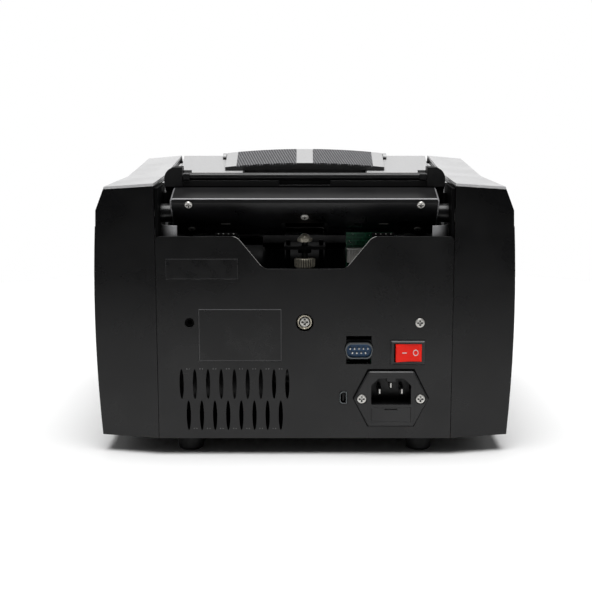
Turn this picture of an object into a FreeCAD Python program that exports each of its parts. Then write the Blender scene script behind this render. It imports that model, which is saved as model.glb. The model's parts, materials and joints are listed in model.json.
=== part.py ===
"""Desktop banknote counting machine with a rear-fed top hopper and a front stacker.

Row frame, millimetres: +Z up, front towards -Y, rear panel towards +Y, origin on the desk under the
middle of the machine. Notes leave the hopper over the feed drum, pass under it and drop into the
front pocket, where the stacker wheels lay them against the note stops.
"""
import FreeCAD, Part
import math
import os

V = FreeCAD.Vector

# ---- driving dimensions -------------------------------------------------------------------------
REAR_Y = 139.0            # outer face of the rear panel
FRONT_Y = -142.5          # foremost point of the side covers
BODY_BOTTOM = 11.0        # underside of the body above the desk
SHEET = 1.5               # steel sheet of panel and base
FIT_GAP = 0.3             # seam between neighbouring covers
RUNNING = 0.05            # radial running clearance of shafts in bearings

# side frames and covers
FRAME_OUT_X = 91.9        # outer face of each side frame, and half width of the rear panel
FRAME_T = 1.8
COVER_IN_X = FRAME_OUT_X + FIT_GAP
COVER_WALL = 2.6
COVER_WIDE_X = 132.0      # widest half width, halfway up the bulge
COVER_FOOT_X = 128.9      # half width at the lower edge
COVER_BROW_X = 129.6      # half width at the brow crease
BROW_Z = 154.5            # height of the brow crease
REAR_EDGE_X = 125.1       # outer corner of the silver top at its rear edge
TOP_EDGE_X = 117.0        # outer corner of the silver top from the crease forwards
COVER_SWEEP = 9.7         # how far the cover's rear face sweeps forwards at its outer edge
TRIM_T = 1.6              # thickness of the silver top trims
REAR_TOP_Z = 172.0
CREASE_Y, CREASE_Z = 74.0, 172.3
RIDGE_Y, RIDGE_Z = -33.0, 178.4
TOP_FALL = 2.3            # how much lower the trim's outer edge lies than its inner edge
NOSE_R, NOSE_Z = 60.0, 66.0
NOSE_FOOT_Y = -136.0
FRONT_CORNER_R = 26.0
COVER_BOSSES = [(122.0, 24.0), (122.0, 128.0), (-104.0, 24.0), (-50.0, 140.0)]

# hopper
TRAY_FALL_DEG = 17.6      # slope of the hopper tray, down towards the rear
TRAY_T = 2.5
TRAY_END_Y = 76.0
INNER_X = FRAME_OUT_X - FRAME_T   # half width of what stands between the frames
HATCH_X = 83.0            # half width of the hatch
HATCH_PIVOT = (121.0, 152.0)
HATCH_BOSS_R = 5.8
HATCH_PIN_R = 3.0
HATCH_REAR = (134.4, 162.3)
HATCH_TOP = (114.2, 167.4)
HATCH_LOW = (112.5, 140.6)
HATCH_LIP = (108.8, 137.4)
HATCH_T = 1.6
HATCH_BULGE = 1.7         # rise of the rear face's curve over its chord
HATCH_CORNER_R = 2.2      # upper corners of the rear face, seen from behind
HATCH_RIM_R = 1.2         # rounded rim along the top and both ends of the rear face
BACK_HALF_X = 88.3        # half width of the hopper's back wall
POST_X = 77.0             # inner face of each post of the back wall
POST_TOP_Z = 180.0
RAIL_Y, RAIL_Z, RAIL_R = 111.0, 174.0, 2.4
GUIDE_X = 79.6            # middle of each note guide at rest
GUIDE_T = 1.6
GUIDE_TRAVEL = 22.0       # how far each guide slides inwards
GUIDE_HUB_W = 4.5         # how far each guide's hub stands in from its post
GUIDE_TOP_Z = 177.0
GEAR_MODULE = 1.0

# transport
SHAFT_R = 4.0
BEARING_R, BEARING_W = 8.0, 5.0
DRUM = (80.0, 106.0)
DRUM_R, DRUM_CORE_R = 26.0, 20.0
PICKUP_Y, PICKUP_R, PICKUP_PROUD = 58.0, 13.0, 1.5
UPPER = (20.0, 92.2)      # driven transfer roller
TRANSFER_R = 11.0
TRANSFER_TEETH = 23
STACKER = (-22.0, 56.0)
STACKER_R, STACKER_HUB_R, STACKER_FINS = 29.0, 9.5, 8
RING_X = (20.0, 60.0)     # stations of the rubber rings, both sides
RING_W = 14.0
WHEEL_X, WHEEL_W = 35.0, 10.0
MOTOR = (100.0, 40.0)
MOTOR_R = 21.0
LOW_TIE_RODS = [(40.0, 40.0), (-70.0, 20.0)]
FRONT_ROD_IN, FRONT_ROD_UNDER = 22.6, 3.93   # front tie rod from the control panel's lower edge
TIE_R, TIE_END_R = 4.0, 2.5
PATH_GAP = 2.4            # between the drum and the guide round it

# rear panel
PANEL_TOP = 139.5
CUT_TOP_X, CUT_LOW_X, CUT_LOW_Z = 42.0, 25.4, 119.3
CUT_ROUND = 7.0
PANEL_SCREW_Z = 85.5
PANEL_SCREW_X = 71.6
COUNTERBORE_R = 5.5
VENT_X, VENT_PITCH, VENT_Z = 44.05, 8.28, 46.3
VENT_H, VENT_W, VENT_ROWS = 19.2, 2.7, (9, 8)
LABEL = (40.2, 77.6, 52.0, 33.4)
SMALL_LABEL = (63.5, 119.4, 45.2, 13.0)
LABEL_DEPTH = 0.3
SERIAL = (-33.8, 68.1)
SERIAL_CUT = (15.8, 17.9)
SERIAL_SHELL = (18.2, 9.6)
SERIAL_ROUND = 3.6        # corners of the serial port's shell
USB = (-24.2, 37.5)
SWITCH = (-64.4, 66.6)
SWITCH_BEZEL = (21.4, 15.2)
SWITCH_ROCKER = (16.2, 11.2)
ROCKER_TILT = 6.0         # lean of the rocker at rest
INLET = (-54.1, 37.3)
INLET_W, INLET_H, INLET_TOP_W = 46.7, 35.4, 28.4
INLET_FLANGE_T = 3.0
INLET_RECESS = (25.0, 17.0)
INLET_RECESS_UP = 4.8
INLET_SCREW_X = 18.4
FUSE_W, FUSE_H, FUSE_DOWN = 24.6, 9.0, 10.2

FOOT_X, FOOT_R = 73.4, 8.4
FOOT_REAR_Y, FOOT_FRONT_Y = 122.6, -106.0
FOOT_PLUG_R = 3.0

# gap adjuster behind the panel's cut-out
KNOB_Y, KNOB_R, KNOB_Z0, KNOB_Z1 = 117.5, 6.6, 117.3, 123.0
SHELF_Z = KNOB_Z0 - 1.2 - 0.1
CROSSBAR_Y = REAR_Y - SHEET
SPINDLE_R = 2.0
ARM_POST_X, ARM_POST_Y, ARM_POST_R = 10.5, 113.5, 1.4
PAD_ANGLE, PAD_GAP = 54.0, 1.2
SENSOR_Y, SENSOR_LOW = 112.6, 112.0

# control panel on the front slope
DISPLAY_W, DISPLAY_H = 84.0, 56.0
PANEL_T = 2.5
BUTTON_W, BUTTON_H, BUTTON_X, BUTTON_PITCH = 22.0, 14.0, 66.0, 26.0
BUTTON_PROUD = 1.6
BUTTON_TRAVEL = 1.2       # how far each button presses in
BUTTON_NAMES = ["button_mode", "button_add", "button_batch", "button_start"]

# carry handle on the tray, just behind the ridge
HANDLE_X, HANDLE_D0, HANDLE_D1 = 57.8, 2.2, 30.5
HANDLE_END_H, HANDLE_MID_H = 2.8, 6.0
HANDLE_SKIN = 1.2
HANDLE_AXIS = (3.6, 1.4)  # pivot in the tray's own frame
HANDLE_PIN_R = 1.0
HANDLE_STRIP, HANDLE_INLAY_X = 6.0, 49.6
TUB_END = 43.0            # rear end of the finger tub in the tray's own frame

# front pocket
POCKET_FLOOR_Z, POCKET_LIP_Z = 27.0, 36.0
POCKET_BACK_Y, POCKET_FRONT_Y = -44.0, -128.0


# ---- geometry helpers ---------------------------------------------------------------------------
def box(x0, x1, y0, y1, z0, z1):
    return Part.makeBox(x1 - x0, y1 - y0, z1 - z0, V(x0, y0, z0))


def cyl_x(x0, x1, yz, r):
    return Part.makeCylinder(r, x1 - x0, V(x0, yz[0], yz[1]), V(1, 0, 0))


def cyl_y(y0, y1, x, z, r):
    return Part.makeCylinder(r, y1 - y0, V(x, y0, z), V(0, 1, 0))


def cyl_z(z0, z1, x, y, r):
    return Part.makeCylinder(r, z1 - z0, V(x, y, z0), V(0, 0, 1))


def tube_x(x0, x1, yz, r_out, r_in):
    return cyl_x(x0, x1, yz, r_out).cut(cyl_x(x0 - 1, x1 + 1, yz, r_in))


def wire_of(points, to_vector):
    """Closed wire through points; a point written as ('arc', middle, end) makes an arc."""
    edges = []
    last = to_vector(points[0])
    for p in points[1:] + [points[0]]:
        if p[0] == "arc":
            end = to_vector(p[2])
            edges.append(Part.Arc(last, to_vector(p[1]), end).toShape())
        else:
            end = to_vector(p)
            if (end - last).Length > 1e-6:
                edges.append(Part.LineSegment(last, end).toShape())
        last = end
    return Part.Wire(edges)


def prism_x(points, x0, x1):
    face = Part.Face(wire_of(points, lambda p: V(x0, p[0], p[1])))
    return face.extrude(V(x1 - x0, 0, 0))


def prism_y(points, y0, y1):
    face = Part.Face(wire_of(points, lambda p: V(p[0], y0, p[1])))
    return face.extrude(V(0, y1 - y0, 0))


def prism_z(points, z0, z1):
    face = Part.Face(wire_of(points, lambda p: V(p[0], p[1], z0)))
    return face.extrude(V(0, 0, z1 - z0))


def sheet_x(points, thickness, x0, x1):
    """Bent sheet: an open line of (y, z) points, thickened to one side and extruded along X."""
    wire = Part.makePolygon([V(x0, y, z) for y, z in points])
    face = wire.makeOffset2D(thickness, 2, True, True)
    return face.extrude(V(x1 - x0, 0, 0))


def fuse(shapes):
    shapes = list(shapes)
    return shapes[0].multiFuse(shapes[1:]).removeSplitter() if len(shapes) > 1 else shapes[0]


def cut(shape, tools):
    return shape.cut(Part.makeCompound(list(tools)))


def mirrored(shape):
    return shape.mirror(V(0, 0, 0), V(1, 0, 0))


def round_edges(shape, radius, wanted):
    """Fillets the straight edges whose middle point and direction the test accepts."""
    picked = []
    for edge in shape.Edges:
        if not isinstance(edge.Curve, Part.Line):
            continue
        middle = edge.valueAt((edge.FirstParameter + edge.LastParameter) / 2)
        along = edge.tangentAt(edge.FirstParameter)
        if wanted(middle, along):
            picked.append(edge)
    return shape.makeFillet(radius, picked)


def is_along(direction, axis):
    return abs(getattr(direction, axis)) > 0.999


def turned(shape, angle_deg, origin, axis=V(1, 0, 0)):
    out = shape.copy()
    out.rotate(V(*origin), axis, angle_deg)
    return out


def rounded_block(x, y, z, sx, sy, sz, r):
    """Block centred on (x, y, z) with its four upright edges rounded."""
    block = box(x - sx / 2, x + sx / 2, y - sy / 2, y + sy / 2, z - sz / 2, z + sz / 2)
    return round_edges(block, r, lambda m, d: is_along(d, "z"))


def pan_screw_y(x, z, seat_y, head_r, head_h, shank_r, shank_l):
    """Pan-head screw along Y with a cross slot, its head seated at seat_y and facing +Y."""
    head = cyl_y(seat_y, seat_y + head_h, x, z, head_r)
    rim = [e for e in head.Edges if e.CenterOfMass.y > seat_y + head_h - 0.01]
    head = head.makeFillet(head_h * 0.45, rim)
    arm, half, deep = head_r * 0.62, head_r * 0.19, head_h * 0.6
    slot_y = seat_y + head_h - deep
    slots = [box(x - arm, x + arm, slot_y, slot_y + 9, z - half, z + half),
             box(x - half, x + half, slot_y, slot_y + 9, z - arm, z + arm)]
    return fuse([cut(head, slots), cyl_y(seat_y - shank_l, seat_y, x, z, shank_r)])


def gear_outline(teeth, module, addendum, dedendum, backlash):
    """Points of an involute gear's section about its centre, one tooth centred on angle 0."""
    pitch_r = module * teeth / 2
    base_r = pitch_r * math.cos(math.radians(20))
    tip_r, root_r = pitch_r + addendum, pitch_r - dedendum
    start_r = max(base_r, root_r + 0.02)

    def involute(r):
        a = math.acos(min(1.0, base_r / r))
        return math.tan(a) - a

    half_at_pitch = (math.pi / 2 - backlash / module / 2) / teeth
    flank = [start_r + (tip_r - start_r) * k / 5 for k in range(6)]
    outline = []
    for tooth in range(teeth):
        centre = 2 * math.pi * tooth / teeth
        half = [half_at_pitch + involute(pitch_r) - involute(r) for r in flank]
        outline.append((root_r, centre - half[0]))
        outline += [(r, centre - h) for r, h in zip(flank, half)]
        outline += [(r, centre + h) for r, h in zip(reversed(flank), reversed(half))]
        outline.append((root_r, centre + half[0]))
    return [(r * math.cos(a), r * math.sin(a)) for r, a in outline]


# ---- derived places -----------------------------------------------------------------------------
def nose_tangent():
    """Where the front slope, coming down from the ridge, touches the nose's arc, and its slope."""
    cy, cz = FRONT_Y + NOSE_R, NOSE_Z
    dy, dz = RIDGE_Y - cy, RIDGE_Z - cz
    reach = math.hypot(dy, dz)
    turn = math.acos(NOSE_R / reach)
    angle = math.atan2(dz, dy) + turn
    y, z = cy + NOSE_R * math.cos(angle), cz + NOSE_R * math.sin(angle)
    return y, z, math.degrees(math.atan2(RIDGE_Z - z, RIDGE_Y - y))


SLOPE_Y, SLOPE_Z, SLOPE_DEG = nose_tangent()
TRAY_TAN = math.tan(math.radians(TRAY_FALL_DEG))


def tray_z(y):
    return RIDGE_Z - (y - RIDGE_Y) * TRAY_TAN


def on_tray(shape):
    """From a flat frame at the ridge, y running rearwards and z off the tray, onto the tray."""
    out = turned(shape, -TRAY_FALL_DEG, (0, 0, 0))
    out.translate(V(0, RIDGE_Y, RIDGE_Z))
    return out


TIE_RODS = [(SLOPE_Y + FRONT_ROD_IN, SLOPE_Z - FRONT_ROD_UNDER)] + LOW_TIE_RODS
PANEL_MID_Y = (RIDGE_Y + SLOPE_Y) / 2
PANEL_MID_Z = (RIDGE_Z + SLOPE_Z) / 2


def on_slope(shape):
    """From a flat frame at the middle of the control panel, z off the panel, onto the slope."""
    out = turned(shape, SLOPE_DEG, (0, 0, 0))
    out.translate(V(0, PANEL_MID_Y, PANEL_MID_Z))
    return out


_fall = math.radians(TRAY_FALL_DEG)
_sink = PICKUP_R - PICKUP_PROUD
PICKUP = (PICKUP_Y - _sink * math.sin(_fall), tray_z(PICKUP_Y) - _sink * math.cos(_fall))
LOWER = (UPPER[0], UPPER[1] - TRANSFER_TEETH * GEAR_MODULE)
PATH_Z = DRUM[1] - DRUM_R - PATH_GAP / 2     # height of the notes' straight run to the front

# pulleys in the right-hand compartment, inner edge of each belt track
TRACK_A, TRACK_B, TRACK_C, TRACK_W = 96.0, 104.5, 113.0, 6.0
MOTOR_PULLEY_R, DRUM_PULLEY_A_R = 8.0, 20.0
DRUM_PULLEY_B_R, UPPER_PULLEY_R = 22.0, 9.0
DRUM_PULLEY_C_R, PICKUP_PULLEY_R = 12.0, 12.0
LOWER_PULLEY_R, STACKER_PULLEY_R = 9.0, 24.0
BELT_T = 1.4


# ---- side covers --------------------------------------------------------------------------------
def roof_cutter(drop):
    """Everything above the cover's faceted roof, lowered by drop."""
    slope = math.tan(math.radians(SLOPE_DEG))
    reach = TOP_EDGE_X - COVER_IN_X
    past = -150.0
    stations = [
        (REAR_Y + 5, REAR_TOP_Z, REAR_TOP_Z - (REAR_TOP_Z - 168.9) * reach / (REAR_EDGE_X - COVER_IN_X)),
        (CREASE_Y, CREASE_Z, CREASE_Z - TOP_FALL / 2),
        (RIDGE_Y, RIDGE_Z, RIDGE_Z - TOP_FALL),
        (past, RIDGE_Z - (RIDGE_Y - past) * slope, RIDGE_Z - (RIDGE_Y - past) * slope - TOP_FALL),
    ]
    wires = []
    for y, z_in, z_out in stations:
        fall = (z_in - z_out) / reach
        x0, x1 = COVER_IN_X - 12, COVER_WIDE_X + 12
        z0 = z_in + 12 * fall - drop
        z1 = z_in - (x1 - COVER_IN_X) * fall - drop
        wires.append(Part.makePolygon([V(x0, y, z0), V(x1, y, z1), V(x1, y, 280), V(x0, y, 280),
                                       V(x0, y, z0)]))
    return Part.makeLoft(wires, True, True)


def brow_cutter(inset):
    """Wedge that planes off the cover's top outer edge, from the brow crease to the roof."""
    slope = math.tan(math.radians(SLOPE_DEG))
    past = -150.0
    drop = (RIDGE_Y - past) * slope
    stations = [
        (REAR_Y + 5, REAR_EDGE_X, 168.9, BROW_Z),
        (CREASE_Y, TOP_EDGE_X, CREASE_Z - TOP_FALL / 2, BROW_Z),
        (RIDGE_Y, TOP_EDGE_X, RIDGE_Z - TOP_FALL, BROW_Z),
        (past, TOP_EDGE_X, RIDGE_Z - TOP_FALL - drop, BROW_Z - drop),
    ]
    wires = []
    for y, top_x, top_z, brow_z in stations:
        top = V(top_x - inset, y, top_z)
        brow = V(COVER_BROW_X - inset, y, brow_z)
        up = top + (top - brow) * 3
        down = brow + V(0.35, 0, -10)
        out = V(COVER_WIDE_X + 40, y, down.z)
        over = V(COVER_WIDE_X + 40, y, up.z)
        wires.append(Part.makePolygon([up, top, brow, down, out, over, up]))
    return Part.makeLoft(wires, True, True)


def cover_form(inset, roof_drop):
    """Outer form of the +X side cover, shrunk by inset on its sides and roof_drop at its roof."""
    mid_z = (BODY_BOTTOM + BROW_Z) / 2
    ceiling = RIDGE_Z + 20
    lean = (COVER_BROW_X - REAR_EDGE_X) / (BROW_Z - 168.9)
    section = prism_y([
        (COVER_IN_X, BODY_BOTTOM + inset),
        (COVER_FOOT_X - inset, BODY_BOTTOM + inset),
        ("arc", (COVER_WIDE_X - inset, mid_z), (COVER_BROW_X - inset, BROW_Z)),
        (COVER_BROW_X - inset + lean * (ceiling - BROW_Z), ceiling),
        (COVER_IN_X, ceiling),
    ], FRONT_Y - 5, REAR_Y + 5)
    sweep = COVER_SWEEP / (COVER_WIDE_X - COVER_IN_X)
    wide = COVER_WIDE_X + 3
    corner = FRONT_CORNER_R
    plan = prism_z([
        (COVER_IN_X, REAR_Y - inset),
        (wide, REAR_Y - inset - sweep * (wide - COVER_IN_X)),
        (wide - inset, FRONT_Y + corner * 1.6),
        ("arc", (wide - inset - corner * 0.30, FRONT_Y + inset + corner * 0.42),
         (wide - inset - corner, FRONT_Y + inset)),
        (COVER_IN_X, FRONT_Y + inset),
    ], 0, 260)
    nose = nose_outline(inset, ceiling)
    side = prism_x(nose, COVER_IN_X - 1, COVER_WIDE_X + 10)
    form = section.common(plan).common(side)
    return form.cut(roof_cutter(roof_drop)).cut(brow_cutter(inset * 1.25))


def nose_outline(inset, ceiling):
    """Side view of a cover: upright rear edge, front slope, round nose and foot."""
    r = NOSE_R - inset
    cy, cz = FRONT_Y + NOSE_R, NOSE_Z
    start = math.radians(90 + SLOPE_DEG)
    half = (start + math.pi) / 2
    top = (cy + r * math.cos(start), cz + r * math.sin(start))
    mid = (cy + r * math.cos(half), cz + r * math.sin(half))
    foot = (NOSE_FOOT_Y + inset, BODY_BOTTOM + inset)
    front = (FRONT_Y + inset, NOSE_Z)
    belly = ((front[0] * 0.78 + foot[0] * 0.22), (front[1] + foot[1]) / 2)
    return [(REAR_Y + 5, BODY_BOTTOM + inset), (REAR_Y + 5, ceiling), (top[0], ceiling), top,
            ("arc", mid, front), ("arc", belly, foot)]


def trim_zone():
    """Where the silver trim replaces the cover's own skin: the roof, as far as the nose."""
    return roof_cutter(TRIM_T).common(box(0, 200, SLOPE_Y + 2, REAR_Y + 10, 0, 300))


def side_cover_parts():
    """The +X cover shell and its silver trim."""
    form = cover_form(0, 0)
    hollow = cover_form(COVER_WALL, TRIM_T + 2.2)
    hollow = hollow.fuse(box(COVER_IN_X - 1, COVER_IN_X + 0.5, FRONT_Y + 20, REAR_Y - 4, 16, 105))
    zone = trim_zone()
    trim = form.common(zone)
    shell = form.cut(hollow).cut(zone)
    bosses = []
    for y, z in COVER_BOSSES:
        bosses.append(form.common(cyl_x(COVER_IN_X, COVER_WIDE_X, (y, z), 4.0)))
        bosses.append(cyl_x(FRAME_OUT_X, COVER_IN_X, (y, z), 4.0))
    shell = fuse([shell] + bosses)
    louvres = [box(COVER_WIDE_X - 8, COVER_WIDE_X + 4, y, y + 3, 34, 58)
               for y in range(20, 92, 9)]
    return cut(shell, louvres), trim


# ---- frame and base -----------------------------------------------------------------------------
def frame_outline():
    low = 3.2
    return [(REAR_Y - SHEET - 0.1, BODY_BOTTOM + SHEET), (REAR_Y - SHEET - 0.1, REAR_TOP_Z - low),
            (CREASE_Y, CREASE_Z - low), (RIDGE_Y, RIDGE_Z - low - 1.2),
            (SLOPE_Y + 3, SLOPE_Z - low - 1.5), (SLOPE_Y - 6, SLOPE_Z - 24),
            (SLOPE_Y - 9, 60), (SLOPE_Y - 4, BODY_BOTTOM + SHEET)]


def bearing_seats():
    return [DRUM, PICKUP, UPPER, LOWER, STACKER]


def side_frame():
    """The +X frame plate with its bearing seats and the hatch's pivot hole."""
    x0, x1 = FRAME_OUT_X - FRAME_T, FRAME_OUT_X
    plate = prism_x(frame_outline(), x0, x1)
    holes = [cyl_x(x0 - 1, x1 + 1, seat, BEARING_R + RUNNING) for seat in bearing_seats()]
    holes.append(cyl_x(x0 - 1, x1 + 1, HATCH_PIVOT, HATCH_PIN_R + RUNNING))
    holes.append(cyl_x(x0 - 1, x1 + 1, MOTOR, 6.0))
    holes += [cyl_x(x0 - 1, x1 + 1, (y, z), TIE_END_R + RUNNING) for y, z in TIE_RODS]
    return cut(plate, holes)


def tie_rods():
    rods = []
    for yz in TIE_RODS:
        rods.append(cyl_x(-INNER_X, INNER_X, yz, TIE_R)
                    .fuse(cyl_x(-FRAME_OUT_X, FRAME_OUT_X, yz, TIE_END_R)).removeSplitter())
    return Part.makeCompound(rods)


def bearings():
    x0 = FRAME_OUT_X - FRAME_T / 2 - BEARING_W / 2
    rings = [tube_x(x0, x0 + BEARING_W, seat, BEARING_R, SHAFT_R + RUNNING) for seat in bearing_seats()]
    return Part.makeCompound(rings + [mirrored(r) for r in rings])


def base_plate():
    half = FRAME_OUT_X
    plate = box(-half, half, -130, REAR_Y - SHEET - 0.1, BODY_BOTTOM, BODY_BOTTOM + SHEET)
    holes = [cyl_z(0, 30, x, y, FOOT_PLUG_R) for x, y in foot_places()]
    slots = [rounded_block(x, y, BODY_BOTTOM, 3.6, 34, 9, 1.7) for y in (-60, -10, 60)
             for x in range(-60, 61, 12)]
    return cut(plate, holes + slots)


def foot_places():
    return [(x, y) for y in (FOOT_REAR_Y, FOOT_FRONT_Y) for x in (-FOOT_X, FOOT_X)]


def foot_at(x, y):
    """Rubber foot whose moulded plug is pushed through the base plate."""
    foot = Part.makeCone(FOOT_R - 0.6, FOOT_R, BODY_BOTTOM, V(x, y, 0))
    foot = foot.makeFillet(2.2, [e for e in foot.Edges if e.CenterOfMass.z < 0.1])
    plug = cyl_z(BODY_BOTTOM - 1, BODY_BOTTOM + SHEET, x, y, FOOT_PLUG_R)
    head = Part.makeCone(FOOT_PLUG_R + 1.2, FOOT_PLUG_R - 0.5, 2.5, V(x, y, BODY_BOTTOM + SHEET))
    return fuse([foot, plug, head])


def rear_crossbar():
    """Bar behind the panel, with the knob's shelf, the arm's guide posts and the sensor bracket."""
    low, high = PANEL_SCREW_Z - 7, PANEL_SCREW_Z + 7
    bar = box(-INNER_X, INNER_X, CROSSBAR_Y - 3, CROSSBAR_Y, low, high)
    bar = bar.cut(box(-90, -10, CROSSBAR_Y - 9, CROSSBAR_Y + 9, 40, PANEL_SCREW_Z - 5.5))
    shelf = box(-16, 16, KNOB_Y - 6, CROSSBAR_Y - 3, SHELF_Z - 2, SHELF_Z)
    leg = box(-16, 16, CROSSBAR_Y - 5, CROSSBAR_Y - 3, PANEL_SCREW_Z - 4, SHELF_Z)
    posts = [cyl_z(SHELF_Z, 134.0, x, ARM_POST_Y, ARM_POST_R) for x in (-ARM_POST_X, ARM_POST_X)]
    arm_low = box(-56, -46, CROSSBAR_Y - 5, CROSSBAR_Y - 3, PANEL_SCREW_Z, SENSOR_LOW + 2)
    arm_mid = box(-56, -46, SENSOR_Y, CROSSBAR_Y - 3, SENSOR_LOW, SENSOR_LOW + 2)
    arm_top = box(-56, -46, SENSOR_Y, SENSOR_Y + 2, SENSOR_LOW, SENSOR_LOW + 22)
    form = fuse([bar, shelf, leg, arm_low, arm_mid, arm_top] + posts)
    tools = [cyl_y(CROSSBAR_Y - 2, REAR_Y, 0, PANEL_SCREW_Z, COUNTERBORE_R)]
    tools += [cyl_y(100, 145, x, PANEL_SCREW_Z, 1.5) for x in (-PANEL_SCREW_X, 0)]
    tools.append(cyl_y(100, 145, PANEL_SCREW_X, PANEL_SCREW_Z, 1.6))
    tools.append(cyl_z(SHELF_Z - 9, SHELF_Z + 9, 0, KNOB_Y, SPINDLE_R + RUNNING))
    return cut(form, tools)


# ---- rear panel and what it carries ---------------------------------------------------------------
def vent_slots(y0, y1):
    slots = []
    for row, count in enumerate(VENT_ROWS):
        z = VENT_Z - row * (VENT_H + 1.1)
        for i in range(count):
            x = VENT_X + (i - (count - 1) / 2) * VENT_PITCH
            ring = Part.Ellipse(V(x, y0, z), VENT_H / 2, VENT_W / 2).toShape()
            ring.rotate(V(x, y0, z), V(1, 0, 0), 90)
            ring.rotate(V(x, y0, z), V(0, 1, 0), 90)
            slots.append(Part.Face(Part.Wire([ring])).extrude(V(0, y1 - y0, 0)))
    return slots


def rear_panel():
    y0 = REAR_Y - SHEET
    half = FRAME_OUT_X
    plate = prism_y([(-half, BODY_BOTTOM), (half, BODY_BOTTOM), (half, PANEL_TOP), (CUT_TOP_X, PANEL_TOP),
                     (CUT_LOW_X, CUT_LOW_Z), (-CUT_LOW_X, CUT_LOW_Z), (-CUT_TOP_X, PANEL_TOP),
                     (-half, PANEL_TOP)], y0, REAR_Y)
    plate = round_edges(plate, CUT_ROUND,
                        lambda m, d: is_along(d, "y") and m.z > 110 and abs(m.x) < half - 1)
    plate = round_edges(plate, 3.0, lambda m, d: is_along(d, "y") and m.z > PANEL_TOP - 1
                        and abs(m.x) > half - 1)
    tools = vent_slots(y0 - 1, REAR_Y + 1)
    tools.append(cyl_y(y0 - 1, REAR_Y + 1, 0, PANEL_SCREW_Z, COUNTERBORE_R))
    tools.append(cyl_y(y0 - 1, REAR_Y + 1, -PANEL_SCREW_X, PANEL_SCREW_Z, 1.8))
    tools.append(cyl_y(y0 - 1, REAR_Y + 1, PANEL_SCREW_X, PANEL_SCREW_Z, 3.0))
    for x, z, w, h in (LABEL, SMALL_LABEL):
        tools.append(box(x - w / 2, x + w / 2, REAR_Y - LABEL_DEPTH, REAR_Y + 1, z - h / 2, z + h / 2))
    x, z = SERIAL
    tools.append(box(x - SERIAL_CUT[0] / 2, x + SERIAL_CUT[0] / 2, y0 - 1, REAR_Y + 1,
                     z - SERIAL_CUT[1] / 2, z + SERIAL_CUT[1] / 2))
    tools.append(serial_form(y0 - 1, REAR_Y + 1, 0.35))
    tools.append(usb_form(y0 - 1, REAR_Y + 1, 0.3))
    x, z = SWITCH
    tools.append(box(x - SWITCH_BEZEL[0] / 2 + 1, x + SWITCH_BEZEL[0] / 2 - 1, y0 - 1, REAR_Y + 1,
                     z - SWITCH_BEZEL[1] / 2 + 1, z + SWITCH_BEZEL[1] / 2 - 1))
    x, z = INLET
    tools.append(box(x - INLET_TOP_W / 2 + 0.4, x + INLET_TOP_W / 2 - 0.4, y0 - 1, REAR_Y + 1,
                     z - INLET_H / 2 + 1.4, z + INLET_H / 2 - 1.4))
    tools += [cyl_y(y0 - 1, REAR_Y + 1, x + s * INLET_SCREW_X, z, 1.8) for s in (-1, 1)]
    return cut(plate, tools)


def label_plates():
    plates = []
    for x, z, w, h in (LABEL, SMALL_LABEL):
        edge = 0.35
        plates.append(box(x - w / 2 + edge, x + w / 2 - edge, REAR_Y - LABEL_DEPTH, REAR_Y - 0.1,
                          z - h / 2 + edge, z + h / 2 - edge))
    return Part.makeCompound(plates)


def rear_screws():
    """Two screws that hold the panel and two that hold the inlet."""
    x, z = INLET
    screws = [pan_screw_y(0, PANEL_SCREW_Z, CROSSBAR_Y - 2, 3.3, 1.9, 1.5, 6),
              pan_screw_y(-PANEL_SCREW_X, PANEL_SCREW_Z, REAR_Y, 2.9, 1.6, 1.5, 8)]
    screws += [pan_screw_y(x + s * INLET_SCREW_X, z, REAR_Y + 1.3, 3.0, 1.9, 1.5, 8) for s in (-1, 1)]
    return Part.makeCompound(screws)


def d_outline(cx, cz, w, h, lean, grow):
    """D-shaped connector outline: wider at the top, with slanted sides."""
    half, top, low = w / 2 + grow, cz + h / 2 + grow, cz - h / 2 - grow
    return [(cx - half, top), (cx + half, top), (cx + half - lean, low), (cx - half + lean, low)]


def serial_form(y0, y1, grow):
    x, z = SERIAL
    form = prism_y(d_outline(x, z, SERIAL_SHELL[0], SERIAL_SHELL[1], 1.6, grow), y0, y1)
    return round_edges(form, SERIAL_ROUND, lambda m, d: is_along(d, "y"))


def serial_port():
    """Nine-pin connector: metal shell and flange, then its insert with the pins."""
    flange_y = REAR_Y - SHEET - 1.2
    x, z = SERIAL
    shell = serial_form(flange_y - 3, REAR_Y + 3.4, 0)
    shell = shell.cut(serial_form(flange_y - 4, REAR_Y + 9, -0.5))
    flange = box(x - 15.4, x + 15.4, flange_y, flange_y + 1.0, z - 6.2, z + 6.2)
    flange = flange.cut(serial_form(flange_y - 4, REAR_Y + 9, -0.2))
    return fuse([shell, flange])


def serial_insert():
    x, z = SERIAL
    y0 = REAR_Y - SHEET - 8
    block = serial_form(y0, REAR_Y + 1.0, -0.55)
    pins = []
    for count, dz in ((5, 1.4), (4, -1.4)):
        for i in range(count):
            px = x + (i - (count - 1) / 2) * 2.75
            pins.append(cyl_y(REAR_Y, REAR_Y + 2.9, px, z + dz, 0.5))
    return fuse([block] + pins)


def usb_form(y0, y1, grow):
    x, z = USB
    w, h = 4.4 / 2 + grow, 7.8 / 2 + grow
    cham = 1.3
    return prism_y([(x - w, z - h), (x + w - cham, z - h), (x + w, z - h + cham),
                    (x + w, z + h - cham), (x + w - cham, z + h), (x - w, z + h)], y0, y1)


def usb_port():
    shell = usb_form(REAR_Y - 9, REAR_Y + 0.4, 0).cut(usb_form(REAR_Y - 8, REAR_Y + 2, -0.45))
    x, z = USB
    tongue = box(x - 0.7, x + 0.5, REAR_Y - 8.2, REAR_Y - 1.5, z - 2.5, z + 2.5)
    return fuse([shell, tongue])


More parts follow.
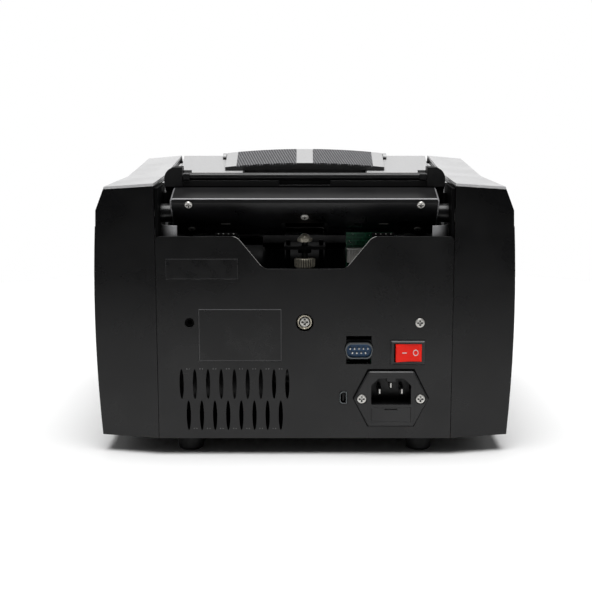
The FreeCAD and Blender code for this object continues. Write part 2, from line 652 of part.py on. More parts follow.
def inlet_hexagon(y0, y1):
    x, z = INLET
    w, h, t = INLET_W / 2, INLET_H / 2, INLET_TOP_W / 2
    form = prism_y([(x - w, z), (x - t, z - h), (x + t, z - h), (x + w, z), (x + t, z + h),
                    (x - t, z + h)], y0, y1)
    return round_edges(form, 1.6, lambda m, d: is_along(d, "y"))


def recess_form(y0, y1, grow):
    """Cavity of the mains inlet, its two upper corners cut off."""
    x, z = INLET[0], INLET[1] + INLET_RECESS_UP
    w, h = INLET_RECESS[0] / 2 + grow, INLET_RECESS[1] / 2 + grow
    c = 4.6
    form = prism_y([(x - w, z - h), (x + w, z - h), (x + w, z + h - c), (x + w - c, z + h),
                    (x - w + c, z + h), (x - w, z + h - c)], y0, y1)
    return round_edges(form, 1.0, lambda m, d: is_along(d, "y"))


def fuse_slot(y0, y1, grow):
    x, z = INLET[0], INLET[1] - FUSE_DOWN
    w, h = FUSE_W / 2 + grow, FUSE_H / 2 + grow
    return box(x - w, x + w, y0, y1, z - h, z + h)


def inlet_housing():
    x, z = INLET
    body = box(x - INLET_TOP_W / 2 + 0.7, x + INLET_TOP_W / 2 - 0.7, REAR_Y - 24, REAR_Y,
               z - INLET_H / 2 + 1.7, z + INLET_H / 2 - 1.7)
    form = fuse([inlet_hexagon(REAR_Y, REAR_Y + INLET_FLANGE_T), body])
    rim = [e for e in form.Edges if abs(e.CenterOfMass.y - REAR_Y - INLET_FLANGE_T) < 0.01]
    form = form.makeChamfer(0.7, rim)
    key = box(x - 2.6, x + 2.6, REAR_Y - 15, REAR_Y + INLET_FLANGE_T,
              z + INLET_RECESS_UP + 6.4, z + INLET_RECESS_UP + 9)
    tools = [recess_form(REAR_Y - 14.5, REAR_Y + 9, 0).cut(key),
             fuse_slot(REAR_Y - 20, REAR_Y + 9, 0.15),
             prism_y([(x - 12.4, z - 6.2), (x + 12.4, z - 6.2), (x + 12.4, z - 5.6),
                      (x - 12.4, z - 5.6)], REAR_Y + INLET_FLANGE_T - 0.4, REAR_Y + 9)]
    for s in (-1, 1):
        tools.append(cyl_y(REAR_Y - 1, REAR_Y + 9, x + s * INLET_SCREW_X, z, 1.7))
        tools.append(cyl_y(REAR_Y + 1.3, REAR_Y + 9, x + s * INLET_SCREW_X, z, 3.3))
    form = cut(form, tools)
    return cut(form, [pin_form(x + dx, z + dz, 0.02) for dx, dz in inlet_pin_places()])


def inlet_pin_places():
    return [(-7.0, INLET_RECESS_UP - 0.8), (7.0, INLET_RECESS_UP - 0.8), (0.0, INLET_RECESS_UP + 3.2)]


def pin_form(x, z, grow):
    return box(x - 1 - grow, x + 1 + grow, REAR_Y - 30, REAR_Y - 0.5, z - 2 - grow, z + 2 + grow)


def inlet_pins():
    x, z = INLET
    pins = []
    for dx, dz in inlet_pin_places():
        pin = pin_form(x + dx, z + dz, 0)
        tip = [e for e in pin.Edges if e.CenterOfMass.y > REAR_Y - 0.6]
        pins.append(pin.makeChamfer(0.55, tip))
    return Part.makeCompound(pins)


def fuse_drawer():
    x, z = INLET[0], INLET[1] - FUSE_DOWN
    body = fuse_slot(REAR_Y - 19, REAR_Y + INLET_FLANGE_T, 0)
    bay = box(x - 9.5, x + 9.5, REAR_Y - 17, REAR_Y - 3, z - 2.8, z + 20)
    grip = box(x - 4, x + 4, REAR_Y + INLET_FLANGE_T - 1.0, REAR_Y + 9, z + FUSE_H / 2 - 1.4, z + 20)
    return cut(body, [bay, grip])


def switch_bezel():
    x, z = SWITCH
    w, h = SWITCH_BEZEL
    rw, rh = SWITCH_ROCKER
    rim = box(x - w / 2, x + w / 2, REAR_Y, REAR_Y + 1.9, z - h / 2, z + h / 2)
    rim = rim.makeChamfer(0.8, [e for e in rim.Edges if abs(e.CenterOfMass.y - REAR_Y - 1.9) < 0.01])
    body = box(x - w / 2 + 1.2, x + w / 2 - 1.2, REAR_Y - 14, REAR_Y, z - h / 2 + 1.2, z + h / 2 - 1.2)
    well = box(x - rw / 2 - 0.6, x + rw / 2 + 0.6, REAR_Y - 9, REAR_Y + 9,
               z - rh / 2 - 0.3, z + rh / 2 + 0.3)
    axle = cyl_z(z - rh / 2 - 0.9, z + rh / 2 + 0.9, x, REAR_Y - 2.0, 1.05)
    tabs = [box(x + dx - 0.4, x + dx + 0.4, REAR_Y - 20, REAR_Y - 14, z - 2.4, z + 2.4)
            for dx in (-5, 5)]
    return fuse([cut(rim.fuse(body).removeSplitter(), [well, axle])] + tabs)


def power_rocker():
    """Rocker tipped so that its -X end, the off side, is pressed in."""
    x, z = SWITCH
    rw, rh = SWITCH_ROCKER
    pivot_y = REAR_Y - 2.0
    half = rw / 2
    form = prism_z([(x - half, pivot_y + 2.0), (x - half, pivot_y + 4.6),
                    ("arc", (x, pivot_y + 3.4), (x + half, pivot_y + 4.6)),
                    (x + half, pivot_y + 2.0), (x + half * 0.45, pivot_y - 3.4),
                    (x - half * 0.45, pivot_y - 3.4)], z - rh / 2, z + rh / 2)
    form = fuse([form, cyl_z(z - rh / 2 - 0.7, z + rh / 2 + 0.7, x, pivot_y, 1.0)])
    return turned(form, ROCKER_TILT, (x, pivot_y, z), V(0, 0, 1))


# ---- gap adjuster -------------------------------------------------------------------------------
def gap_knob():
    knob = cyl_z(KNOB_Z0, KNOB_Z1, 0, KNOB_Y, KNOB_R)
    knob = knob.makeChamfer(0.5, knob.Edges[0:1] + knob.Edges[2:3])
    grooves = []
    count = 26
    for i in range(count):
        a = 2 * math.pi * i / count
        grooves.append(cyl_z(KNOB_Z0 - 1, KNOB_Z1 + 1, (KNOB_R + 0.15) * math.cos(a),
                             KNOB_Y + (KNOB_R + 0.15) * math.sin(a), 0.5))
    spindle = cyl_z(KNOB_Z0 - 8.5, 133.6, 0, KNOB_Y, SPINDLE_R)
    foot = cyl_z(KNOB_Z0 - 1.2, KNOB_Z0, 0, KNOB_Y, 5.0)
    return fuse([cut(knob, grooves), spindle, foot])


def acorn_nut():
    across = 4.7
    corners = [(across * math.cos(math.radians(60 * k)), KNOB_Y + across * math.sin(math.radians(60 * k)))
               for k in range(6)]
    hexagon = prism_z(corners, 133.6, 135.6)
    dome = Part.makeSphere(3.9, V(0, KNOB_Y, 134.6)).common(box(-9, 9, 90, 140, 135.4, 150))
    return fuse([hexagon, dome])


def over_drum(reach, along):
    """Point (y, z) off the drum's centre: reach at the pad's angle, along its tangent."""
    a = math.radians(PAD_ANGLE)
    return (DRUM[0] + reach * math.cos(a) - along * math.sin(a),
            DRUM[1] + reach * math.sin(a) + along * math.cos(a))


def drum_block(near, far, half_width):
    outline = [over_drum(near, -3.5), over_drum(far, -3.5), over_drum(far, 3.5), over_drum(near, 3.5)]
    return prism_x(outline, -half_width, half_width)


def retard_arm():
    """Arm that the spindle raises and lowers; its nose carries the retard pad over the drum."""
    z = 129.0
    plate = box(-13, 13, 100.6, KNOB_Y + 5, z, z + 2)
    nose = drum_block(DRUM_R + PAD_GAP + 2, DRUM_R + PAD_GAP + 5.8, 27)
    sleeve = cyl_z(z - 2.5, z + 2, 0, KNOB_Y, 4.2)
    tools = [cyl_z(120, 140, 0, KNOB_Y, SPINDLE_R + RUNNING)]
    tools += [cyl_z(120, 140, x, ARM_POST_Y, ARM_POST_R + RUNNING) for x in (-ARM_POST_X, ARM_POST_X)]
    return cut(fuse([plate, nose, sleeve]), tools)


def retard_pad():
    """Rubber pad under the arm's nose, a little over a note's thickness off the drum's rings."""
    return drum_block(DRUM_R + PAD_GAP, DRUM_R + PAD_GAP + 2, 26)


# ---- hopper -------------------------------------------------------------------------------------
def hopper_tray():
    """Sloping floor with the finger tub under the handle, its hinge lugs and the roller windows."""
    length = (TRAY_END_Y - RIDGE_Y) / math.cos(math.radians(TRAY_FALL_DEG))
    plate = box(-INNER_X, INNER_X, 0.6, length, -TRAY_T, 0)
    plate = round_edges(plate, 1.1, lambda m, d: is_along(d, "x") and m.y > length - 1)
    tub = round_edges(box(-47, 47, 11, TUB_END + 2, -17, 0), 6, lambda m, d: is_along(d, "z"))
    hollow = round_edges(box(-45, 45, 13, TUB_END, -15, 5), 4, lambda m, d: is_along(d, "z"))
    ay, az = HANDLE_AXIS
    lugs = []
    for side in (-1, 1):
        x0, x1 = sorted((side * (HANDLE_X + FIT_GAP), side * (HANDLE_X + 2.9)))
        lug = box(x0, x1, ay - 2.0, ay + 5, -0.5, 2.9)
        lugs.append(round_edges(lug, 1.4, lambda m, d: is_along(d, "x") and m.z > 2.8))
    groove = box(-HANDLE_X - FIT_GAP, HANDLE_X + FIT_GAP, HANDLE_D0 - 0.5, ay + 3.5, -0.8, 1)
    form = cut(fuse([plate, tub] + lugs), [hollow, groove, cyl_x(-70, 70, (ay, az), HANDLE_PIN_R + RUNNING)])
    windows = [box(x - RING_W / 2 - 2, x + RING_W / 2 + 2, PICKUP[0] - 15, PICKUP[0] + 17, 100, 200)
               for x in (-RING_X[0], RING_X[0])]
    return cut(on_tray(form), windows + [cyl_z(100, 200, 0, 40, 2.5)])


def arch_section(half, low_end, low_mid, top_end, top_mid):
    return [(-half, low_end), (-half, top_end), ("arc", (0, top_mid), (half, top_end)),
            (half, low_end), ("arc", (0, low_mid), (-half, low_end))]


def handle_grip():
    half = HANDLE_X
    top_end, top_mid = HANDLE_END_H - HANDLE_SKIN, HANDLE_MID_H - HANDLE_SKIN
    bar = prism_y([(-half, 0), (-half, top_end), ("arc", (0, top_mid), (half, top_end)), (half, 0),
                   (half - 8, 0), ("arc", (0, 1.6), (-half + 8, 0))], HANDLE_D0, HANDLE_D1)
    pins = [cyl_x(s * half - 3.0, s * half + 3.0, HANDLE_AXIS, HANDLE_PIN_R) for s in (-1, 1)]
    inside = box(-half, half, -10, 60, top_end, 20)
    return on_tray(fuse([bar] + [p.cut(inside) for p in pins]))


def handle_cover():
    half = HANDLE_X
    low_end, low_mid = HANDLE_END_H - HANDLE_SKIN, HANDLE_MID_H - HANDLE_SKIN
    skin = prism_y(arch_section(half, low_end, low_mid, HANDLE_END_H, HANDLE_MID_H),
                   HANDLE_D0, HANDLE_D1)
    pockets = [inlay_form(s, 0.0) for s in (-1, 1)]
    return on_tray(cut(skin, pockets))


def inlay_form(side, shrink):
    """Room of one textured inlay, let 0.8 mm into the handle's top."""
    x0, x1 = sorted((side * (HANDLE_STRIP + shrink), side * (HANDLE_INLAY_X - shrink)))
    slab = prism_y(arch_section(HANDLE_X, HANDLE_END_H - 0.8, HANDLE_MID_H - 0.8, HANDLE_END_H + 0.1,
                                HANDLE_MID_H + 0.1), HANDLE_D0 - 1, HANDLE_D1 + 1)
    return slab.common(box(x0, x1, HANDLE_D0 - 1, HANDLE_D1 + 1, -5, 20))


def handle_inlays():
    zone = box(-90, 90, HANDLE_D0, HANDLE_D1, -5, 20)
    return Part.makeCompound([on_tray(inlay_form(s, 0.1).common(zone)) for s in (-1, 1)])


def hatch_outline():
    """Closed (y, z) outline of the hatch: flat top, bulging rear face and a lip turned down."""
    (ry, rz), (ty, tz), (ly, lz), (py, pz) = HATCH_REAR, HATCH_TOP, HATCH_LOW, HATCH_LIP
    return [(ty, tz), (ry, rz), (ry - 0.1, rz - 2.8), ("arc", hatch_face_point(0.5), (ly, lz)),
            (py, pz), (py - 2.4, pz + 1.6), (106.2, 147.0), (107.0, 162.0)]


def hatch_face_point(share):
    """Point (y, z) on the bulging rear face, 0 at its upper and 1 at its lower edge."""
    y0, z0 = HATCH_REAR[0] - 0.1, HATCH_REAR[1] - 2.8
    y1, z1 = HATCH_LOW
    chord = math.hypot(y1 - y0, z1 - z0)
    radius = (chord * chord / 4 + HATCH_BULGE ** 2) / (2 * HATCH_BULGE)
    along_y, along_z = (y1 - y0) / chord, (z1 - z0) / chord
    out_y, out_z = -along_z, along_y
    mid_y, mid_z = (y0 + y1) / 2, (z0 + z1) / 2
    cy, cz = mid_y - out_y * (radius - HATCH_BULGE), mid_z - out_z * (radius - HATCH_BULGE)
    a = (share - 0.5) * 2 * math.asin(chord / 2 / radius)
    return (cy + radius * (out_y * math.cos(a) + along_y * math.sin(a)),
            cz + radius * (out_z * math.cos(a) + along_z * math.sin(a)))


def on_hatch_top(point):
    """Whether a point lies between the two long edges of the hatch's flat top."""
    return HATCH_TOP[0] + 1 < point.y < HATCH_REAR[0] - 1 and point.z > HATCH_REAR[1] + 0.5


def on_hatch_rim(point):
    """Whether an edge with this middle point runs round the rear face above its lower edge."""
    crease = abs(point.x) < 1 and point.z < HATCH_REAR[1] - 1
    return point.y > HATCH_PIVOT[0] - 3 and point.z > HATCH_LOW[1] and not on_hatch_top(point) and not crease


def hatch_cover():
    outline = Part.Face(wire_of(hatch_outline(), lambda p: V(-HATCH_X, p[0], p[1])))
    form = outline.extrude(V(2 * HATCH_X, 0, 0))
    form = round_edges(form, HATCH_CORNER_R, lambda m, d: abs(m.x) > HATCH_X - 0.1 and on_hatch_top(m))
    rim = [e for e in form.Edges if on_hatch_rim(e.CenterOfMass)]
    form = form.makeFillet(HATCH_RIM_R, rim)
    inner = outline.makeOffset2D(-HATCH_T)
    inner.translate(V(HATCH_T, 0, 0))
    form = form.cut(inner.extrude(V(2 * (HATCH_X - HATCH_T), 0, 0)))
    notch = box(-14.5, 14.5, 90, 123, 120, 145.5)
    bosses = [cyl_x(HATCH_X - 0.5, INNER_X - FIT_GAP, HATCH_PIVOT, HATCH_BOSS_R),
              cyl_x(HATCH_X - HATCH_T, FRAME_OUT_X, HATCH_PIVOT, HATCH_PIN_R)]
    bosses += [mirrored(b) for b in bosses]
    return fuse([form.cut(notch)] + bosses)


def hatch_screws():
    screws = []
    for x, share in ((-71.5, 0.04), (71.5, 0.04), (-71.5, 0.92), (71.5, 0.92), (0.0, 0.42)):
        (y0, z0), (y1, z1) = hatch_face_point(share - 0.02), hatch_face_point(share + 0.02)
        tilt = math.degrees(math.atan2(z0 - z1, y0 - y1)) - 90
        y, z = hatch_face_point(share)
        screw = cyl_y(0.1, 1.1, x, 0, 2.5)
        screw = screw.makeFillet(0.6, [e for e in screw.Edges if e.CenterOfMass.y > 1.0])
        slots = [box(x - 1.5, x + 1.5, 0.5, 3, -0.35, 0.35), box(x - 0.35, x + 0.35, 0.5, 3, -1.5, 1.5)]
        screw = turned(cut(screw, slots), tilt, (0, 0, 0))
        screw.translate(V(0, y, z))
        screws.append(screw)
    return Part.makeCompound(screws)


def hopper_back():
    """Back wall of the hopper with its two posts, the strip over the hatch and the rack channel."""
    strip_top, strip_low = 171.6, 167.9
    wall = prism_x([(98.5, 147.0), (101.5, 146.4), (105.0, 164.0), (113.0, 167.9), (113.0, 171.6),
                    (108.6, 171.6), (104.4, 171.6), (102.0, 165.0)], -BACK_HALF_X, BACK_HALF_X)
    notch = box(-16.2, 16.2, 110.0, 120, strip_low + 0.9, 190)
    posts = []
    for side in (1, -1):
        post = prism_y([(POST_X, strip_low), (BACK_HALF_X, strip_low), (BACK_HALF_X, POST_TOP_Z - 7),
                        ("arc", (BACK_HALF_X - 2.05, POST_TOP_Z - 2.05), (BACK_HALF_X - 7, POST_TOP_Z)),
                        (POST_X, POST_TOP_Z)], 103.0, 114.5)
        posts.append(post if side == 1 else mirrored(post))
    ears = [box(BACK_HALF_X - 2, INNER_X, 99.8, 102.4, 149, 163)]
    ears.append(mirrored(ears[0]))
    form = fuse([wall] + posts + ears)
    return cut(form, [notch, cyl_x(-POST_X - 4, POST_X + 4, (RAIL_Y, RAIL_Z), RAIL_R)])


def note_guide():
    """The +X note guide: fin along the tray, arm in front of the post and hub on the rail."""
    x0, x1 = GUIDE_X - GUIDE_T / 2, GUIDE_X + GUIDE_T / 2
    low = tray_z(TRAY_END_Y) + 0.7
    fin = prism_x([(46.0, tray_z(46.0) + 0.6), (TRAY_END_Y, low), (96.0, low), (97.0, 147.0),
                   (100.6, 165.0), (102.6, 171.9), (102.6, GUIDE_TOP_Z), (97.0, GUIDE_TOP_Z),
                   (90.0, GUIDE_TOP_Z - 2.5), (62.0, 164.0)], x0, x1)
    arm = box(POST_X - GUIDE_HUB_W, x1, 97.0, 102.6, 172.0, GUIDE_TOP_Z)
    hub = box(POST_X - GUIDE_HUB_W, POST_X - 0.5, 102.0, RAIL_Y + 3.4, 171.6, 176.4)
    hub = round_edges(hub, 1.2, lambda m, d: is_along(d, "x") and m.y > RAIL_Y)
    return fuse([fin, arm, hub]).cut(cyl_x(0, 90, (RAIL_Y, RAIL_Z), RAIL_R + RUNNING))


def guide_rail():
    return cyl_x(-POST_X - 4, POST_X + 4, (RAIL_Y, RAIL_Z), RAIL_R)


# ---- control panel ------------------------------------------------------------------------------
def control_panel():
    """Front bezel: the sloping panel, its lip over the pocket and the lip's return."""
    y0, z0 = RIDGE_Y - 0.4, RIDGE_Z - 0.3
    tan = math.tan(math.radians(SLOPE_DEG))
    lip_y, lip_z = SLOPE_Y + 1.5, RIDGE_Z - (RIDGE_Y - SLOPE_Y - 1.5) * tan - 0.3
    line = [(y0, z0), (lip_y, lip_z), (lip_y - 2.5, lip_z - 11), (lip_y + 14, lip_z - 15),
            (-52.0, lip_z - 15)]
    panel = sheet_x(line, -PANEL_T, -INNER_X, INNER_X)
    holes = [box(-DISPLAY_W / 2, DISPLAY_W / 2, -DISPLAY_H / 2, DISPLAY_H / 2, -9, 9)]
    for x, y in button_places():
        holes.append(rounded_block(x, y, 0, BUTTON_W + 0.6, BUTTON_H + 0.6, 18, 2.3))
    holes = [on_slope(h) for h in holes]
    return cut(panel, holes + [box(-99, 99, RIDGE_Y - 0.3, 0, 150, 200)])


def button_places():
    return [(s * BUTTON_X, y) for s in (-1, 1) for y in (BUTTON_PITCH / 2, -BUTTON_PITCH / 2)]


def button_at(x, y):
    cap = rounded_block(x, y, (BUTTON_PROUD - 4.5) / 2, BUTTON_W, BUTTON_H, BUTTON_PROUD + 4.5, 2.0)
    top = [e for e in cap.Edges if e.BoundBox.ZMin > BUTTON_PROUD - 0.01]
    cap = cap.makeFillet(0.6, top)
    flange = rounded_block(x, y, -4.5, BUTTON_W + 3, BUTTON_H + 3, 1.2, 2.0)
    return on_slope(fuse([cap, flange]))


def display_window():
    slab = rounded_block(0, 0, -0.9, DISPLAY_W - 0.4, DISPLAY_H - 0.4, 1.8, 2.0)
    return on_slope(slab)


def display_module():
    frame = box(-DISPLAY_W / 2 - 3, DISPLAY_W / 2 + 3, -DISPLAY_H / 2 - 3, DISPLAY_H / 2 + 3, -7, -3.3)
    board = box(-86, 86, -34, 34, -8.8, -7.2)
    posts = [cyl_z(-7.2, -PANEL_T - 0.6, x, y, 2.4) for x in (-83, 83) for y in (-30, 30)]
    half_w, half_h = DISPLAY_W / 2 + 3, DISPLAY_H / 2 + 3
    rim = box(-half_w, half_w, -half_h, half_h, -3.4, -PANEL_T - 0.6)
    return on_slope(fuse([frame, board, rim, box(-30, 30, -20, 20, -7.3, -6.9)] + posts))


# ---- front pocket -------------------------------------------------------------------------------
def pocket_back():
    sheet = sheet_x([(POCKET_BACK_Y + 6, PATH_Z - 7), (POCKET_BACK_Y, PATH_Z - 14),
                     (POCKET_BACK_Y - 3, POCKET_FLOOR_Z)], 2.0, -INNER_X, INNER_X)
    slots = [box(s * WHEEL_X - WHEEL_W / 2 - 2, s * WHEEL_X + WHEEL_W / 2 + 2, -80, 0,
                 POCKET_FLOOR_Z + 1.5, 120) for s in (-1, 1)]
    return cut(sheet, slots)


def pocket_floor():
    y0, y1 = POCKET_BACK_Y - 3, POCKET_FRONT_Y
    sheet = sheet_x([(y0 - 2.2, POCKET_FLOOR_Z), (y1 + 8, POCKET_LIP_Z), (y1, POCKET_LIP_Z + 3),
                     (y1 - 2, BODY_BOTTOM + SHEET)], 2.0, -INNER_X, INNER_X)
    finger = round_edges(box(-34, 34, y1 - 9, y1 + 36, 0, 80), 12,
                         lambda m, d: is_along(d, "z") and m.y > y1 + 20)
    return fuse([sheet.cut(finger)] + note_stops())


def note_stops():
    """The two upright stops that the notes stand against."""
    plates = []
    for side in (-1, 1):
        x0, x1 = sorted((side * 40, side * 84))
        plate = box(x0, x1, 0, 2.4, 0, 44)
        plate = round_edges(plate, 7, lambda m, d: is_along(d, "y") and m.z > 40)
        plate.rotate(V(0, 0, 0), V(1, 0, 0), 14)
        plate.translate(V(0, POCKET_FRONT_Y + 16, POCKET_LIP_Z + 0.6))
        plates.append(plate)
    return plates


# ---- transport ----------------------------------------------------------------------------------
def ring_stations():
    return [s * x for x in RING_X for s in (-1, 1)]


def drum_shaft():
    """Feed drum: steel shaft with the core that carries the rubber rings."""
    shaft = cyl_x(-FRAME_OUT_X - 3, TRACK_C + TRACK_W, DRUM, SHAFT_R)
    core = cyl_x(-80, 80, DRUM, DRUM_CORE_R)
    spacer = cyl_x(TRACK_A, TRACK_C + TRACK_W, DRUM, 7)
    return fuse([shaft, core, spacer, pulley(TRACK_A, DRUM, DRUM_PULLEY_A_R, SHAFT_R),
                 pulley(TRACK_B, DRUM, DRUM_PULLEY_B_R, SHAFT_R),
                 pulley(TRACK_C, DRUM, DRUM_PULLEY_C_R, SHAFT_R)])


def drum_rings():
    return Part.makeCompound([tube_x(x - RING_W / 2, x + RING_W / 2, DRUM, DRUM_R, DRUM_CORE_R)
                              for x in ring_stations()])


def pulley(x0, centre, r, bore):
    """Flanged pulley for one belt track."""
    wheel = cyl_x(x0 + 0.6, x0 + TRACK_W - 0.6, centre, r)
    flanges = [cyl_x(x, x + 0.6, centre, r + 2.2) for x in (x0, x0 + TRACK_W - 0.6)]
    return fuse([wheel] + flanges).cut(cyl_x(x0 - 1, x0 + TRACK_W + 1, centre, bore))


def belt(x0, a, ra, b, rb):
    """Flat belt round two pulleys, a hair clear of both."""
    def loop(grow):
        ra_, rb_ = ra + grow, rb + grow
        d = math.hypot(b[0] - a[0], b[1] - a[1])
        direction = math.atan2(b[1] - a[1], b[0] - a[0])
        swing = math.acos((ra_ - rb_) / d)

        def at(c, r, angle):
            return c[0] + r * math.cos(angle), c[1] + r * math.sin(angle)
        return [at(a, ra_, direction + swing),
                ("arc", at(a, ra_, direction + math.pi), at(a, ra_, direction - swing)),
                at(b, rb_, direction - swing),
                ("arc", at(b, rb_, direction), at(b, rb_, direction + swing))]
    x1, x2 = x0 + 1.0, x0 + TRACK_W - 1.0
    return prism_x(loop(FIT_GAP + BELT_T), x1, x2).cut(prism_x(loop(FIT_GAP), x1 - 1, x2 + 1))


def pickup_shaft():
    shaft = cyl_x(-FRAME_OUT_X - 3, TRACK_C + TRACK_W, PICKUP, SHAFT_R)
    hubs = [tube_x(x - RING_W / 2, x + RING_W / 2, PICKUP, PICKUP_R - 4, SHAFT_R)
            for x in (-RING_X[0], RING_X[0])]
    return fuse([shaft] + hubs + [pulley(TRACK_C, PICKUP, PICKUP_PULLEY_R, SHAFT_R)])


def pickup_tyres():
    return Part.makeCompound([tube_x(x - RING_W / 2, x + RING_W / 2, PICKUP, PICKUP_R, PICKUP_R - 4)
                              for x in (-RING_X[0], RING_X[0])])


def transfer_roller(centre, track, pulley_r, phase_deg):
    """Transfer shaft with four rubber rollers, its gear at the left frame and its pulley."""
    shaft = cyl_x(-FRAME_OUT_X - 9, track + TRACK_W, centre, SHAFT_R)
    rollers = [cyl_x(x - RING_W / 2, x + RING_W / 2, centre, TRANSFER_R) for x in ring_stations()]
    outline = gear_outline(TRANSFER_TEETH, GEAR_MODULE, 0.9, 1.2, 0.16)
    outline = [(centre[0] + p, centre[1] + q) for p, q in outline]
    gear = prism_x(outline, -FRAME_OUT_X - 8, -FRAME_OUT_X - 3)
    gear.rotate(V(0, centre[0], centre[1]), V(1, 0, 0), phase_deg)
    return fuse([shaft, gear] + rollers + [pulley(track, centre, pulley_r, SHAFT_R)])


def stacker_shaft():
    shaft = cyl_x(-FRAME_OUT_X - 3, TRACK_A + TRACK_W, STACKER, SHAFT_R)
    return fuse([shaft, pulley(TRACK_A, STACKER, STACKER_PULLEY_R, SHAFT_R)])


def stacker_wheels():
    """Two wheels of thin curved fins that lay each note in the pocket."""
    wheels = []
    sweep_r = STACKER_R * 0.72
    for side in (-1, 1):
        x0, x1 = side * WHEEL_X - WHEEL_W / 2, side * WHEEL_X + WHEEL_W / 2
        hub = tube_x(x0, x1, STACKER, STACKER_HUB_R, SHAFT_R)
        centre = (STACKER[0] + sweep_r * 0.42, STACKER[1] + sweep_r * 0.96)
        ring = tube_x(x0, x1, centre, sweep_r, sweep_r - 1.3)
        zone = tube_x(x0, x1, STACKER, STACKER_R, STACKER_HUB_R - 0.6)
        keep = box(x0 - 1, x1 + 1, STACKER[0] - 60, STACKER[0] + sweep_r * 0.42, 0, 160)
        fin = ring.common(zone).common(keep)
        fins = [turned(fin, 360 * k / STACKER_FINS, (0, STACKER[0], STACKER[1]))
                for k in range(STACKER_FINS)]
        wheels.append(fuse([hub] + fins))
    return Part.makeCompound(wheels)


def drive_motor():
    can = cyl_x(20, FRAME_OUT_X - FRAME_T, MOTOR, MOTOR_R)
    can = can.makeFillet(2.5, [e for e in can.Edges if e.CenterOfMass.x < 21 and e.Length > 50])
    boss = cyl_x(10, 20, MOTOR, 6)
    flange = box(FRAME_OUT_X - FRAME_T - 2, FRAME_OUT_X - FRAME_T, MOTOR[0] - 24, MOTOR[0] + 24,
                 MOTOR[1] - 24, MOTOR[1] + 24)
    return fuse([can, boss, flange]).cut(cyl_x(60, 100, MOTOR, 2.6))


def motor_rotor():
    shaft = cyl_x(62, TRACK_A + TRACK_W, MOTOR, 2.5)
    return fuse([shaft, pulley(TRACK_A, MOTOR, MOTOR_PULLEY_R, 2.5)])


def path_guide():
    """Sheet that turns the notes round the drum and leads them forwards."""
    r0 = DRUM_R + PATH_GAP
    r1 = r0 + 1.2

    def at(r, deg):
        return DRUM[0] + r * math.cos(math.radians(deg)), DRUM[1] + r * math.sin(math.radians(deg))
    outline = [at(r1, 18), ("arc", at(r1, -36), at(r1, -90)), (33.0, DRUM[1] - r1), (33.0, DRUM[1] - r0),
               at(r0, -90), ("arc", at(r0, -36), at(r0, 18))]
    return prism_x(outline, -INNER_X, INNER_X)


def belts():
    return Part.makeCompound([
        belt(TRACK_A, MOTOR, MOTOR_PULLEY_R, DRUM, DRUM_PULLEY_A_R),
        belt(TRACK_B, DRUM, DRUM_PULLEY_B_R, UPPER, UPPER_PULLEY_R),
        belt(TRACK_C, DRUM, DRUM_PULLEY_C_R, PICKUP, PICKUP_PULLEY_R),
        belt(TRACK_A, LOWER, LOWER_PULLEY_R, STACKER, STACKER_PULLEY_R),
    ])


# ---- electronics --------------------------------------------------------------------------------
def main_board():
    """Controller board in the left-hand compartment, with its parts and stand-offs."""
    x = -106.0
    board = box(x - 1.6, x, -70, 96, 26, 134)
    parts = [box(x - 4, x - 1.6, 10, 34, 70, 94), box(x - 7, x - 1.6, -50, -20, 40, 48),
             box(x - 9, x - 1.6, 50, 80, 110, 120), box(x - 8, x - 1.6, -56, -48, 90, 124),
             cyl_x(x - 11, x - 1.6, (60, 60), 6), cyl_x(x - 11, x - 1.6, (76, 60), 6)]
    posts = [cyl_x(x, -FRAME_OUT_X, yz, 3) for yz in ((-64, 32), (-64, 128), (90, 32), (90, 128))]
    return fuse([board] + parts + posts)


def power_supply():
    z = BODY_BOTTOM + SHEET + 5
    board = box(-86, -8, 44, 106, z, z + 1.6)
    parts = [box(-82, -44, 50, 84, z + 1.6, z + 32), cyl_z(z + 1.6, z + 26, -28, 60, 8),
             cyl_z(z + 1.6, z + 26, -28, 80, 8), box(-40, -36, 50, 90, z + 1.6, z + 22)]
    posts = [cyl_z(BODY_BOTTOM + SHEET, z, x, y, 2.5) for x in (-82, -12) for y in (48, 102)]
    return fuse([board] + parts + posts)


def sensor_board():
    return box(-56, -26.2, SENSOR_Y - 1.6, SENSOR_Y, SENSOR_LOW + 3, 138.9)


def sensor_plug():
    """White wire-to-board plug on the sensor board with its short ribbon."""
    block = box(-38.4, -26.8, SENSOR_Y, SENSOR_Y + 5.5, 120.0, 129.0)
    grooves = [box(-37.9 + 2 * i, -36.9 + 2 * i, SENSOR_Y + 4.9, SENSOR_Y + 9, 110, 128)
               for i in range(6)]
    wires = [cyl_z(99.0, 120.0, -37.1 + 2 * i, SENSOR_Y + 3.2, 0.65) for i in range(5)]
    return fuse([cut(block, grooves)] + wires)


